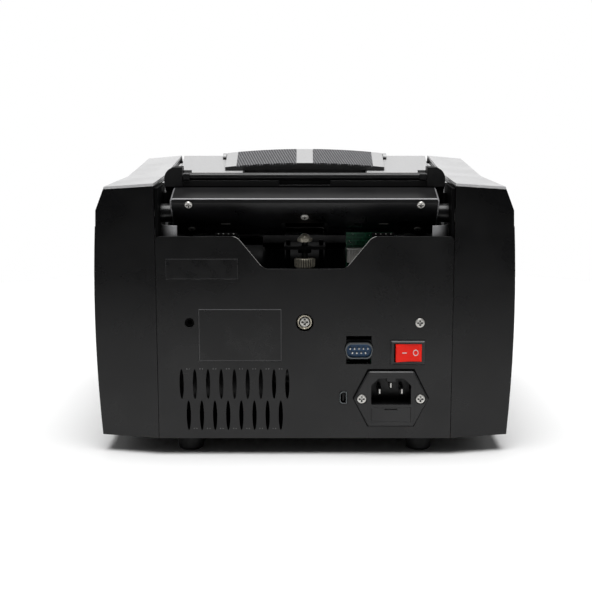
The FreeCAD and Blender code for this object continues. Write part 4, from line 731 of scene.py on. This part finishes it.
def finish(name):
    """Material by name, made the first time it's asked for."""
    makers = {
        "cover": cover_black, "panel": panel_black, "silver": silver_paint, "hatch": hatch_gloss,
        "inlay": dotted_inlay, "rubber": rubber, "ribbed": ribbed_rubber, "nickel": nickel,
        "knob": brassy_nickel, "black_steel": black_steel, "board": board_green,
        "label": label_film, "port": port_shell, "pins": plug_pins, "bright": bright_sheet,
        "shade": lambda: shade_black().material, "frame": frame_black, "handle": handle_silver,
        "screen": screen_glass, "rocker": rocker_red, "inlet": inlet_black,
        # the trims get the tray's silver painted 1.3 times lighter, as painted light
        "trim": lambda: silver_paint("trim_silver", 1.3),
        "feed": lambda: ribbed_rubber("feed_rubber", (0.003, 0.003, 0.0032)),
        "inner": lambda: plain_plastic("inner_black", (0.0055, 0.0055, 0.0060), 0.40),
        "white": lambda: plain_plastic("nylon_white", (0.70, 0.69, 0.66), 0.5, grain_mm=0.6),
        "legend": lambda: plain_plastic("legend_white", (0.80, 0.79, 0.78), 0.5, rounding=0.05),
        "blue": lambda: plain_plastic("insert_blue", settings().serial_colour, 0.42, tone=0.2),
        "nib": lambda: plain_plastic("nib_grey", (0.22, 0.22, 0.22), 0.4, rounding=0.05),
        "bead": lambda: turned_metal("bead_plate", (0.20, 0.20, 0.19), 0.4, metal=0.5,
                                     rounding=0.1).material,
        "washer": lambda: turned_metal("warm_washer", (0.62, 0.57, 0.46), 0.3, metal=0.6,
                                       rounding=0.1).material,
        "bezel": lambda: plain_plastic("bezel_black", (0.016, 0.016, 0.017), 0.40),
        "button": lambda: plain_plastic("button_grey", (0.10, 0.105, 0.115), 0.5, grain_mm=0.35),
        "fin": lambda: plain_plastic("fin_grey", (0.09, 0.095, 0.10), 0.5),
        "steel": lambda: turned_metal("ground_steel", (0.56, 0.57, 0.58), 0.28, (0.06, 1, 1)).material,
        "alu": lambda: turned_metal("turned_aluminium", (0.68, 0.69, 0.70), 0.34,
                                    (1, 0.3, 0.3)).material,
        "digits": lambda: glow("digit_glow", (0.35, 0.75, 1.0), 2.2),
    }
    if name not in FINISHES:
        FINISHES[name] = makers[name]()
    return FINISHES[name]


def dress(finishes):
    """Gives CAD nodes their finish: a mapping of finish name to node names."""
    for name, nodes in finishes.items():
        for node in nodes:
            obj = frame["nodes"][node]
            obj.data.materials.clear()
            obj.data.materials.append(finish(name))


# ---- settings --------------------------------------------------------------------------------------
def colour_setting(name, description, value):
    return bpy.props.FloatVectorProperty(name=name, description=description, default=value,
                                         subtype="COLOR", size=3, min=0, max=1)


def size_setting(name, description, value):
    return bpy.props.FloatProperty(name=name, description=description, default=value, min=0.001)


def share_setting(name, description, value):
    return bpy.props.FloatProperty(name=name, description=description, default=value, min=0, max=1,
                                   subtype="FACTOR")


class CounterFinish(bpy.types.PropertyGroup):
    """Colours and surface qualities"""
    cover_colour: colour_setting("Cover", "Side covers' black", (0.0020, 0.0020, 0.0023))
    cover_rough: share_setting("Cover roughness", "How dull the side covers are", 0.30)
    panel_colour: colour_setting("Panel", "Rear panel's powder coat", (0.0020, 0.0020, 0.0023))
    panel_rough: share_setting("Panel roughness", "How dull the rear panel is", 0.30)
    silver_colour: colour_setting("Silver", "Silver paint of trims, tray and handle", (0.50, 0.50, 0.503))
    silver_rough: share_setting("Silver roughness", "How dull the silver paint is", 0.42)
    hatch_colour: colour_setting("Hatch", "Gloss black of the hatch", (0.0035, 0.0035, 0.0040))
    inlay_colour: colour_setting("Inlay", "Handle's dotted inlays", (0.070, 0.070, 0.074))
    nickel_colour: colour_setting("Nickel", "Plated screws", (0.62, 0.61, 0.58))
    knob_colour: colour_setting("Knob", "Gap knob and its dome nut", (0.60, 0.56, 0.46))
    board_colour: colour_setting("Board", "Solder resist of the circuit boards", (0.010, 0.115, 0.055))
    serial_colour: colour_setting("Serial insert", "Serial port's blue insert", (0.010, 0.060, 0.150))
    rocker_colour: colour_setting("Rocker", "Power rocker", (1.0, 0.016, 0.006))
    grain: size_setting("Grain", "Size of the moulded grain in millimetres", 0.45)
    dot_pitch: size_setting("Dot pitch", "Spacing of the inlays' dots in millimetres", 2.6)


class CounterDetail(bpy.types.PropertyGroup):
    """Sizes of the small pieces, in millimetres"""
    legend_wide: size_setting("Legend width", "Length of the switch's dash mark", 2.9)
    ring_radius: size_setting("Ring radius", "Radius of the switch's ring mark", 1.75)
    legend_line: size_setting("Legend line", "Line width of the switch's marks", 0.55)
    pin_radius: size_setting("Pin radius", "Radius of the serial port's pins", 0.58)
    vent_pitch: size_setting("Vent pitch", "Spacing of the vent slots", 8.28)
    vent_middle: size_setting("Vent middle", "Middle of the vent field across the panel", 44.05)
    nibs_top: size_setting("Upper nibs", "Height of the nibs beside the upper slots' tops", 56.0)
    nibs_low: size_setting("Lower nibs", "Height of the nibs beside the lower slots' feet", 17.4)
    shield_wall: size_setting("Shield wall", "Thickness of the bright corner shields", 0.7)
    digit_high: size_setting("Digit height", "Height of the display's digits", 13.0)


class CounterStage(bpy.types.PropertyGroup):
    """Camera, floor and lights"""
    floor_colour: colour_setting("Floor", "Pale round floor", (0.90, 0.90, 0.90))
    floor_radius: size_setting("Floor radius", "Radius of the round floor in metres", 0.62)
    sun: size_setting("Broad light", "Strength of the broad soft light", 2.9)
    top: size_setting("Top softbox", "Power of the overhead softbox in watts", 5.0)
    front: size_setting("Front softbox", "Power of the softbox high on the far side in watts", 2.5)
    side: size_setting("Side softboxes", "Power of each side softbox in watts", 1.8)
    surroundings: size_setting("Surroundings", "Brightness of the room that surfaces reflect", 0.06)
    sun_tilt: size_setting("Light tilt", "Lean of the broad light off straight down in degrees", 9.0)
    camera_back: size_setting("Camera distance", "Distance of the camera behind the middle in metres", 0.859)
    camera_height: size_setting("Camera height", "Camera's height above the desk in metres", 0.2327)
    camera_dip: size_setting("Camera dip", "How far the camera looks down in degrees", 10.26)
    camera_shift: bpy.props.FloatProperty(name="Camera shift", description="Sideways lens shift",
                                          default=-0.0147)
    lens: size_setting("Lens", "Focal length in millimetres on a 36 mm frame", 71.9)


# ---- finishes of the frame's nodes -----------------------------------------------------------------
class COUNTER_OT_dress_shell(bpy.types.Operator):
    """Finish the covers, trims, tray, control panel and feet"""
    bl_idname = "counter.dress_shell"
    bl_label = "Dress shell"

    def execute(self, context):
        dress({
            "cover": ["side_cover_left", "side_cover_right"],
            "silver": ["hopper_tray", "control_panel"],
            "trim": ["top_trim_left", "top_trim_right"],
            "handle": ["handle_cover"],
            "inner": ["handle_grip", "hopper_back", "note_guide_left", "note_guide_right",
                      "pocket_back", "pocket_floor"],
            "inlay": ["handle_inlays"],
            "rubber": ["rubber_feet"],
            "screen": ["display_window"],
            "button": ["button_mode", "button_add", "button_batch", "button_start"],
        })
        return {"FINISHED"}


class COUNTER_OT_dress_rear(bpy.types.Operator):
    """Finish the rear panel, the hatch and everything that faces rearwards"""
    bl_idname = "counter.dress_rear"
    bl_label = "Dress rear"

    def execute(self, context):
        dress({
            "panel": ["rear_panel"],
            "label": ["blank_labels"],
            "hatch": ["hatch_cover"],
            "nickel": ["hatch_screws", "rear_screws"],
            "port": ["serial_port", "usb_port"],
            "pins": ["inlet_pins"],
            "knob": ["gap_knob"],
            "frame": ["side_frame_left", "side_frame_right"],
            # painted shade on the parts seen deep through the rear cut-out
            "shade": ["rear_crossbar", "retard_arm"],
            "black_steel": ["guide_rail"],
            "inner": ["fuse_drawer"],
            "inlet": ["inlet_housing"],
            "bezel": ["switch_bezel"],
            "blue": ["serial_insert"],
            "rocker": ["power_rocker"],
            "board": ["sensor_board"],
            "white": ["sensor_plug"],
        })
        return {"FINISHED"}


class COUNTER_OT_dress_inside(bpy.types.Operator):
    """Finish the feed drum, rollers, stacker, drive and electronics"""
    bl_idname = "counter.dress_inside"
    bl_label = "Dress inside"

    def execute(self, context):
        dress({
            "black_steel": ["drive_motor"],
            # painted shade: parts deep inside, the steel pickup shaft too, are painted near-black
            "shade": ["base_plate", "path_guide", "drum_shaft", "pickup_shaft"],
            "feed": ["drum_rings"],
            "steel": ["tie_rods", "transfer_roller_upper", "transfer_roller_lower",
                      "stacker_shaft", "shaft_bearings"],
            "alu": ["motor_rotor"],
            "ribbed": ["pickup_tyres"],
            "rubber": ["drive_belts", "retard_pad"],
            "fin": ["stacker_wheels"],
            "board": ["main_board", "power_supply", "display_module"],
        })
        return {"FINISHED"}


# ---- small pieces ----------------------------------------------------------------------------------
class COUNTER_OT_switch_marks(bpy.types.Operator):
    """Dash and ring marks on the power rocker"""
    bl_idname = "counter.switch_marks"
    bl_label = "Switch marks"

    def execute(self, context):
        detail = context.scene.counter_detail
        pivot = Vector(joint("power_switch")["pos_m"])
        lean = math.radians(6)                               # tilt of the rocker at rest
        half, dip, crown = 8.1 * MM, 1.2 * MM, 3.4 * MM      # its half width, hollow and middle height

        def on_rocker(obj, along):
            """Stands a mark on the rocker's hollow face, along the face from its middle."""
            slope = math.atan(2 * dip * along / half ** 2)
            out = crown + dip * (along / half) ** 2
            obj.rotation_euler = (math.radians(-90), 0, lean + slope)
            obj.location = pivot + Vector((along * math.cos(lean) - out * math.sin(lean),
                                           along * math.sin(lean) + out * math.cos(lean), 0))
            apply_place(obj)
            return obj

        wide, line = detail.legend_wide * MM, detail.legend_line * MM
        dash = block("switch_dash", (-wide / 2, -line / 2, -0.1 * MM),
                     (wide / 2, line / 2, 0.1 * MM), 0.05 * MM)
        bpy.ops.object.select_all(action="DESELECT")
        bpy.ops.mesh.primitive_torus_add(major_radius=detail.ring_radius * MM, minor_radius=line / 2,
                                         major_segments=40, minor_segments=10)
        ring = context.object
        ring.name = ring.data.name = "switch_ring"
        ring.scale = (0.85, 1.0, 0.5)
        apply_place(ring)
        marks = join("switch_marks", [on_rocker(dash, 2.6 * MM), on_rocker(ring, -4.4 * MM)])
        finish_piece(marks, "rocker", finish("legend"))
        return {"FINISHED"}


class COUNTER_OT_serial_pins(bpy.types.Operator):
    """Nine round-tipped pins standing out of the serial port's insert"""
    bl_idname = "counter.serial_pins"
    bl_label = "Serial pins"

    def execute(self, context):
        radius = context.scene.counter_detail.pin_radius * MM
        centre = middle("serial_port")
        pitch, long = 2.75 * MM, 2.25 * MM
        face = PANEL_Y + 0.8 * MM
        pins = []
        for count, rise in ((5, 1.4 * MM), (4, -1.4 * MM)):
            for index in range(count):
                foot = Vector((centre.x + (index - (count - 1) / 2) * pitch, face, centre.z + rise))
                pins.append(rod("pin", foot, foot + Vector((0, long, 0)), radius, 16, radius * 0.6))
        finish_piece(join("serial_pins", pins), "chassis", finish("nickel"))
        return {"FINISHED"}


class COUNTER_OT_corner_shields(bpy.types.Operator):
    """Bright curved shields under the hatch's two bosses"""
    bl_idname = "counter.corner_shields"
    bl_label = "Corner shields"

    def execute(self, context):
        wall = context.scene.counter_detail.shield_wall * MM
        base = high("rear_panel").z - 6 * MM
        top = base + 12.4 * MM
        inner = high("side_frame_right").x - 2.2 * MM
        for side, name in zip(SIDES, ("corner_shield_left", "corner_shield_right")):
            bpy.ops.object.select_all(action="DESELECT")
            bpy.ops.mesh.primitive_cylinder_add(vertices=96, radius=11 * MM, depth=top - base,
                                                end_fill_type="NOTHING")
            shield = context.object
            shield.name = shield.data.name = name
            edit_faces(shield, lambda c, n: c.x * side < 0 or c.y < 0)
            bpy.ops.mesh.delete(type="FACE")
            leave_edit()
            shield.location = (side * (inner - 11.2 * MM), PANEL_Y - 12.8 * MM, (base + top) / 2)
            apply_place(shield)
            apply_modifier(shield, "SOLIDIFY", thickness=wall, offset=-1)
            apply_modifier(shield, "BEVEL", width=0.15 * MM, segments=2, limit_method="ANGLE")
            finish_piece(shield, "chassis", finish("bright"), 50)
        return {"FINISHED"}


class COUNTER_OT_contact_strips(bpy.types.Operator):
    """Two rows of contact beads behind the rear panel's upper edge, and the clips above them"""
    bl_idname = "counter.contact_strips"
    bl_label = "Contact strips"

    def execute(self, context):
        y = PANEL_Y - 4.2 * MM
        z = high("rear_panel").z + 0.9 * MM
        for side, name in zip(SIDES, ("contact_strip_left", "contact_strip_right")):
            x = side * 48.5 * MM
            bar = block(name, (x - 7 * MM, y - 1.2 * MM, z - 9 * MM),
                        (x + 7 * MM, y, z + 0.75 * MM), 0.3 * MM)
            finish_piece(bar, "chassis", finish("shade"))
            bead = rod("bead", (0, -0.1 * MM, 0), (0, 0.5 * MM, 0), 0.45 * MM, 14, 0.25 * MM)
            beads = self.row(bead, 4, 3.1 * MM, Vector((x, y, z)))
            finish_piece(join(name + "_beads", beads), "chassis", finish("bead"))
        self.clips()
        return {"FINISHED"}

    def row(self, first, count, pitch, place):
        """Row of copies along X about a place, each with its own mesh."""
        copies = []
        for index in range(count):
            copy = first.copy()
            copy.data = first.data.copy()
            bpy.context.collection.objects.link(copy)
            copy.location = place + Vector(((index - (count - 1) / 2) * pitch, 0, 0))
            apply_place(copy)
            copies.append(copy)
        bpy.data.objects.remove(first)
        return copies

    def clips(self):
        """Thin wire clips low on the hatch's rear face."""
        face = [c for c in node_corners("hatch_cover") if c.y > high("hatch_cover").y - 0.025]
        clips = []
        for side in SIDES:
            x = side * 49.5 * MM
            z = 145.2 * MM
            near = max(c.y for c in face if abs(c.z - z) < 0.0012)
            clips.append(rod("clip", (x - 3 * MM, near, z), (x + 3 * MM, near, z),
                             0.22 * MM, 10, 0.1 * MM))
        finish_piece(join("hatch_clips", clips), "hatch", finish("nickel"))


class COUNTER_OT_panel_details(bpy.types.Operator):
    """Weld nibs between the vents, cup washer of the middle screw and a dark ring of painted shade round the
    mains inlet
    """
    bl_idname = "counter.panel_details"
    bl_label = "Panel details"

    def execute(self, context):
        self.nibs(context.scene.counter_detail)
        self.washer()
        self.shade_ring()
        return {"FINISHED"}

    def nibs(self, detail):
        """Pairs of tiny nibs between the slots, above the upper row and below the lower one."""
        pitch = detail.vent_pitch * MM
        nibs = []
        for gaps, z in ((8, detail.nibs_top * MM), (7, detail.nibs_low * MM)):
            for index in range(gaps):
                for shift in (-0.8 * MM, 0.8 * MM):
                    x = detail.vent_middle * MM + (index - (gaps - 1) / 2) * pitch + shift
                    nibs.append(rod("nib", (x, PANEL_Y - 0.1 * MM, z), (x, PANEL_Y + 0.12 * MM, z),
                                    0.28 * MM, 8, 0.08 * MM, 1))
        finish_piece(join("vent_nibs", nibs), "chassis", finish("nib"))

    def washer(self):
        """Cup washer whose rolled rim stands round the screw in the counterbore."""
        screws = [c for c in node_corners("rear_screws") if abs(c.x) < 0.004]
        z = (max(c.z for c in screws) + min(c.z for c in screws)) / 2
        y = max(c.y for c in screws)
        bpy.ops.object.select_all(action="DESELECT")
        bpy.ops.mesh.primitive_torus_add(major_radius=4.15 * MM, minor_radius=0.6 * MM, major_segments=56,
                                         minor_segments=12, location=(0, y - 0.5 * MM, z),
                                         rotation=(math.radians(90), 0, 0))
        ring = bpy.context.object
        ring.name = ring.data.name = "cup_washer"
        apply_place(ring)
        finish_piece(ring, "chassis", finish("washer"), 60)

    def shade_ring(self):
        """Thin near-black ring, painted shade, that shows as a dark line round the inlet's six-sided flange.
        """
        lo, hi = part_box("inlet_housing")
        proud, corner_x = 0.8 * MM, 14.2 * MM
        wide, tall = (hi.x - lo.x) / 2 + proud, (hi.z - lo.z) / 2 + proud
        bpy.ops.object.select_all(action="DESELECT")
        bpy.ops.mesh.primitive_cylinder_add(vertices=6, radius=1, depth=0.5 * MM)
        shade_ring = bpy.context.object
        shade_ring.name = shade_ring.data.name = "inlet_shade_ring"
        shade_ring.rotation_euler = (0, 0, math.radians(30))
        apply_place(shade_ring)
        shade_ring.scale = (wide, tall / math.cos(math.radians(30)), 1)
        apply_place(shade_ring)
        edit_edges(shade_ring, lambda a, b: max(abs(a.x), abs(b.x)) < wide * 0.9)
        flat = (corner_x + proud * 0.6) / (wide / 2)
        bpy.ops.transform.resize(value=(flat, 1, 1), center_override=(0, 0, 0))
        leave_edit()
        edit_faces(shade_ring, lambda c, n: abs(n.z) > 0.9)
        bpy.ops.mesh.inset(thickness=3.5 * MM)
        bpy.ops.mesh.bridge_edge_loops()
        leave_edit()
        shade_ring.rotation_euler = (math.radians(-90), 0, 0)
        shade_ring.location = ((lo.x + hi.x) / 2, PANEL_Y + 0.26 * MM, (lo.z + hi.z) / 2)
        apply_place(shade_ring)
        # painted shade: the near-black ring stands in for the shaded gap round the flange
        finish_piece(shade_ring, "chassis", finish("shade"))


SEGMENTS = {"top": (0, 1, True), "middle": (0, 0, True), "bottom": (0, -1, True),
            "upper_left": (-1, 0.5, False), "upper_right": (1, 0.5, False),
            "lower_left": (-1, -0.5, False), "lower_right": (1, -0.5, False)}
ZERO = ("top", "bottom", "upper_left", "upper_right", "lower_left", "lower_right")


class COUNTER_OT_display_digits(bpy.types.Operator):
    """Four lit digits on the display window"""
    bl_idname = "counter.display_digits"
    bl_label = "Display digits"

    def execute(self, context):
        tall = context.scene.counter_detail.digit_high * MM
        wide, line, gap = tall * 0.5, tall * 0.11, tall * 0.05
        off = top_along("display_window", -PRESS)
        up = Vector((0, math.cos(SLOPE), math.sin(SLOPE)))
        rise = middle("display_window").dot(up) + tall * 0.35
        bars = []
        for place in range(4):
            x = (place - 1.5) * tall * 0.86
            for name in ZERO:
                across, height, level = SEGMENTS[name]
                size = (wide - line - gap, line) if level else (line, tall / 2 - line / 2 - gap)
                cx = x + across * (wide - line) / 2
                cy = height * (tall - line) / 2
                bar = block("segment", (cx - size[0] / 2, cy - size[1] / 2, -0.05 * MM),
                            (cx + size[0] / 2, cy + size[1] / 2, 0.06 * MM))
                edit_edges(bar, lambda a, b: abs(a.z - b.z) > 0.05 * MM)
                bpy.ops.mesh.bevel(offset=line * 0.4, segments=1, affect="EDGES")
                leave_edit()
                bars.append(bar)
        digits = onto_panel(join("display_digits", bars), 0, rise, off)
        finish_piece(digits, "chassis", finish("digits"))
        return {"FINISHED"}


class COUNTER_OT_button_marks(bpy.types.Operator):
    """Plain signs on the four buttons"""
    bl_idname = "counter.button_marks"
    bl_label = "Button marks"

    def execute(self, context):
        up = Vector((0, math.cos(SLOPE), math.sin(SLOPE)))
        thick = 0.12 * MM

        def bar(width, height, x=0.0, y=0.0):
            return block("bar", (x - width / 2, y - height / 2, -0.05 * MM),
                         (x + width / 2, y + height / 2, thick - 0.05 * MM), 0.04 * MM, 1)

        def wedge():
            bpy.ops.object.select_all(action="DESELECT")
            bpy.ops.mesh.primitive_cylinder_add(vertices=3, radius=2.6 * MM, depth=thick)
            obj = context.object
            obj.rotation_euler = (0, 0, math.radians(-90))
            apply_place(obj)
            edit_edges(obj, lambda a, b: abs(a.z - b.z) > thick / 2)
            bpy.ops.mesh.bevel(offset=0.4 * MM, segments=3, affect="EDGES")
            leave_edit()
            return obj

        signs = {
            "mode": lambda: [bar(5 * MM, 0.7 * MM, 0, d * MM) for d in (-1.7, 0, 1.7)],
            "add": lambda: [bar(5 * MM, 0.9 * MM), bar(0.9 * MM, 2.05 * MM, 0, 1.48 * MM),
                            bar(0.9 * MM, 2.05 * MM, 0, -1.48 * MM)],
            "batch": lambda: [bar(1.5 * MM, d * MM, x * MM, (d - 4.4) / 2 * MM)
                              for x, d in ((-2.2, 2.0), (0, 3.2), (2.2, 4.4))],
            "start": lambda: [wedge()],
        }
        for name, sign in signs.items():
            node = "button_" + name
            off = top_along(node, -PRESS)
            rise = middle(node).dot(up)
            mark = onto_panel(join(name + "_mark", sign()), middle(node).x, rise, off)
            finish_piece(mark, name + "_button", finish("legend"))
        return {"FINISHED"}


# ---- stage -----------------------------------------------------------------------------------------
class COUNTER_OT_set_stage(bpy.types.Operator):
    """Pale round floor, soft studio light and the camera behind the machine"""
    bl_idname = "counter.set_stage"
    bl_label = "Set stage"

    def execute(self, context):
        stage = context.scene.counter_stage
        self.floor(stage)
        self.sunlight(stage)
        self.softbox("top_softbox", (0.0, 0.1, 1.3), (0, 0, 0.1), (1.6, 0.9), stage.top)
        self.softbox("front_softbox", (0.0, -1.1, 1.0), (0, 0, 0.15), (1.6, 0.8), stage.front)
        self.softbox("left_softbox", (1.3, 0.25, 0.75), (0, 0, 0.12), (0.7, 0.7), stage.side)
        self.softbox("right_softbox", (-1.3, 0.25, 0.75), (0, 0, 0.12), (0.7, 0.7), stage.side)
        self.world(stage)
        camera = bpy.data.objects.new("camera", bpy.data.cameras.new("camera"))
        context.scene.collection.objects.link(camera)
        camera.location = (0, stage.camera_back, stage.camera_height)
        camera.rotation_euler = (math.radians(90 - stage.camera_dip), 0, math.radians(180))
        camera.data.sensor_width = 36
        camera.data.lens = stage.lens
        camera.data.shift_x = stage.camera_shift
        context.scene.camera = camera
        context.scene.view_settings.view_transform = "Standard"
        return {"FINISHED"}

    def floor(self, stage):
        """Round pale table under the machine, softly rounded at its rim."""
        bpy.ops.object.select_all(action="DESELECT")
        bpy.ops.mesh.primitive_cylinder_add(vertices=96, radius=stage.floor_radius, depth=0.02,
                                            location=(0, 0, -0.01))
        floor = bpy.context.object
        floor.name = floor.data.name = "studio_floor"
        apply_place(floor)
        edit_edges(floor, lambda a, b: a.z > -0.001 and b.z > -0.001)
        bpy.ops.mesh.bevel(offset=0.004, segments=3, affect="EDGES")
        leave_edit()
        material = bpy.data.materials.new("studio_paper")
        material.use_nodes = True
        shader = material.node_tree.nodes["Principled BSDF"]
        shader.inputs["Base Color"].default_value = (*stage.floor_colour, 1)
        shader.inputs["Roughness"].default_value = 0.85
        shader.inputs["Specular IOR Level"].default_value = 0.2
        floor.data.materials.append(material)

    def sunlight(self, stage):
        """Broad soft light from high above, tilted a little towards the camera's side."""
        light = bpy.data.lights.new("broad_light", "SUN")
        light.energy = stage.sun
        light.angle = math.radians(50)
        lamp = bpy.data.objects.new("broad_light", light)
        bpy.context.scene.collection.objects.link(lamp)
        lamp.rotation_euler = (math.radians(-stage.sun_tilt), 0, 0)

    def softbox(self, name, place, aim, size, power):
        light = bpy.data.lights.new(name, "AREA")
        light.shape = "RECTANGLE"
        light.size, light.size_y = size
        light.energy = power
        lamp = bpy.data.objects.new(name, light)
        bpy.context.scene.collection.objects.link(lamp)
        lamp.location = place
        lamp.rotation_euler = (Vector(aim) - Vector(place)).to_track_quat("-Z", "Y").to_euler()

    def world(self, stage):
        """White backdrop to look at, dim surroundings to reflect."""
        world = bpy.data.worlds.new("studio_world")
        bpy.context.scene.world = world
        world.use_nodes = True
        tree = world.node_tree
        dim = tree.nodes["Background"]
        dim.inputs["Color"].default_value = (1, 1, 1, 1)
        dim.inputs["Strength"].default_value = stage.surroundings
        backdrop = tree.nodes.new("ShaderNodeBackground")
        backdrop.inputs["Color"].default_value = (1, 1, 1, 1)
        backdrop.inputs["Strength"].default_value = 1.0
        seen = tree.nodes.new("ShaderNodeLightPath")
        mix = tree.nodes.new("ShaderNodeMixShader")
        tree.links.new(seen.outputs["Is Camera Ray"], mix.inputs["Fac"])
        tree.links.new(dim.outputs[0], mix.inputs[1])
        tree.links.new(backdrop.outputs[0], mix.inputs[2])
        tree.links.new(mix.outputs[0], tree.nodes["World Output"].inputs["Surface"])


# ---- panel and registration ------------------------------------------------------------------------
STEPS = (COUNTER_OT_dress_shell, COUNTER_OT_dress_rear, COUNTER_OT_dress_inside,
         COUNTER_OT_switch_marks, COUNTER_OT_serial_pins, COUNTER_OT_corner_shields,
         COUNTER_OT_contact_strips, COUNTER_OT_panel_details, COUNTER_OT_display_digits,
         COUNTER_OT_button_marks, COUNTER_OT_set_stage)
GROUPS = {"counter_finish": CounterFinish, "counter_detail": CounterDetail, "counter_stage": CounterStage}


class COUNTER_PT_looks(bpy.types.Panel):
    """Lists the counter's settings and steps"""
    bl_idname = "COUNTER_PT_looks"
    bl_label = "Banknote counter"
    bl_space_type = "VIEW_3D"
    bl_region_type = "UI"
    bl_category = "Counter"

    def draw(self, context):
        for group in GROUPS:
            box = self.layout.box()
            held = getattr(context.scene, group)
            for key in held.__annotations__:
                box.prop(held, key)
        for step in STEPS:
            self.layout.operator(step.bl_idname)


def register():
    for kind in (*GROUPS.values(), *STEPS, COUNTER_PT_looks):
        bpy.utils.register_class(kind)
    for name, kind in GROUPS.items():
        setattr(bpy.types.Scene, name, bpy.props.PointerProperty(type=kind))


def unregister():
    for name in GROUPS:
        delattr(bpy.types.Scene, name)
    for kind in reversed((*GROUPS.values(), *STEPS, COUNTER_PT_looks)):
        bpy.utils.unregister_class(kind)


def main():
    register()
    for step in STEPS:
        group, name = step.bl_idname.split(".")
        getattr(getattr(bpy.ops, group), name)()


if __name__ == "__main__":
    main()
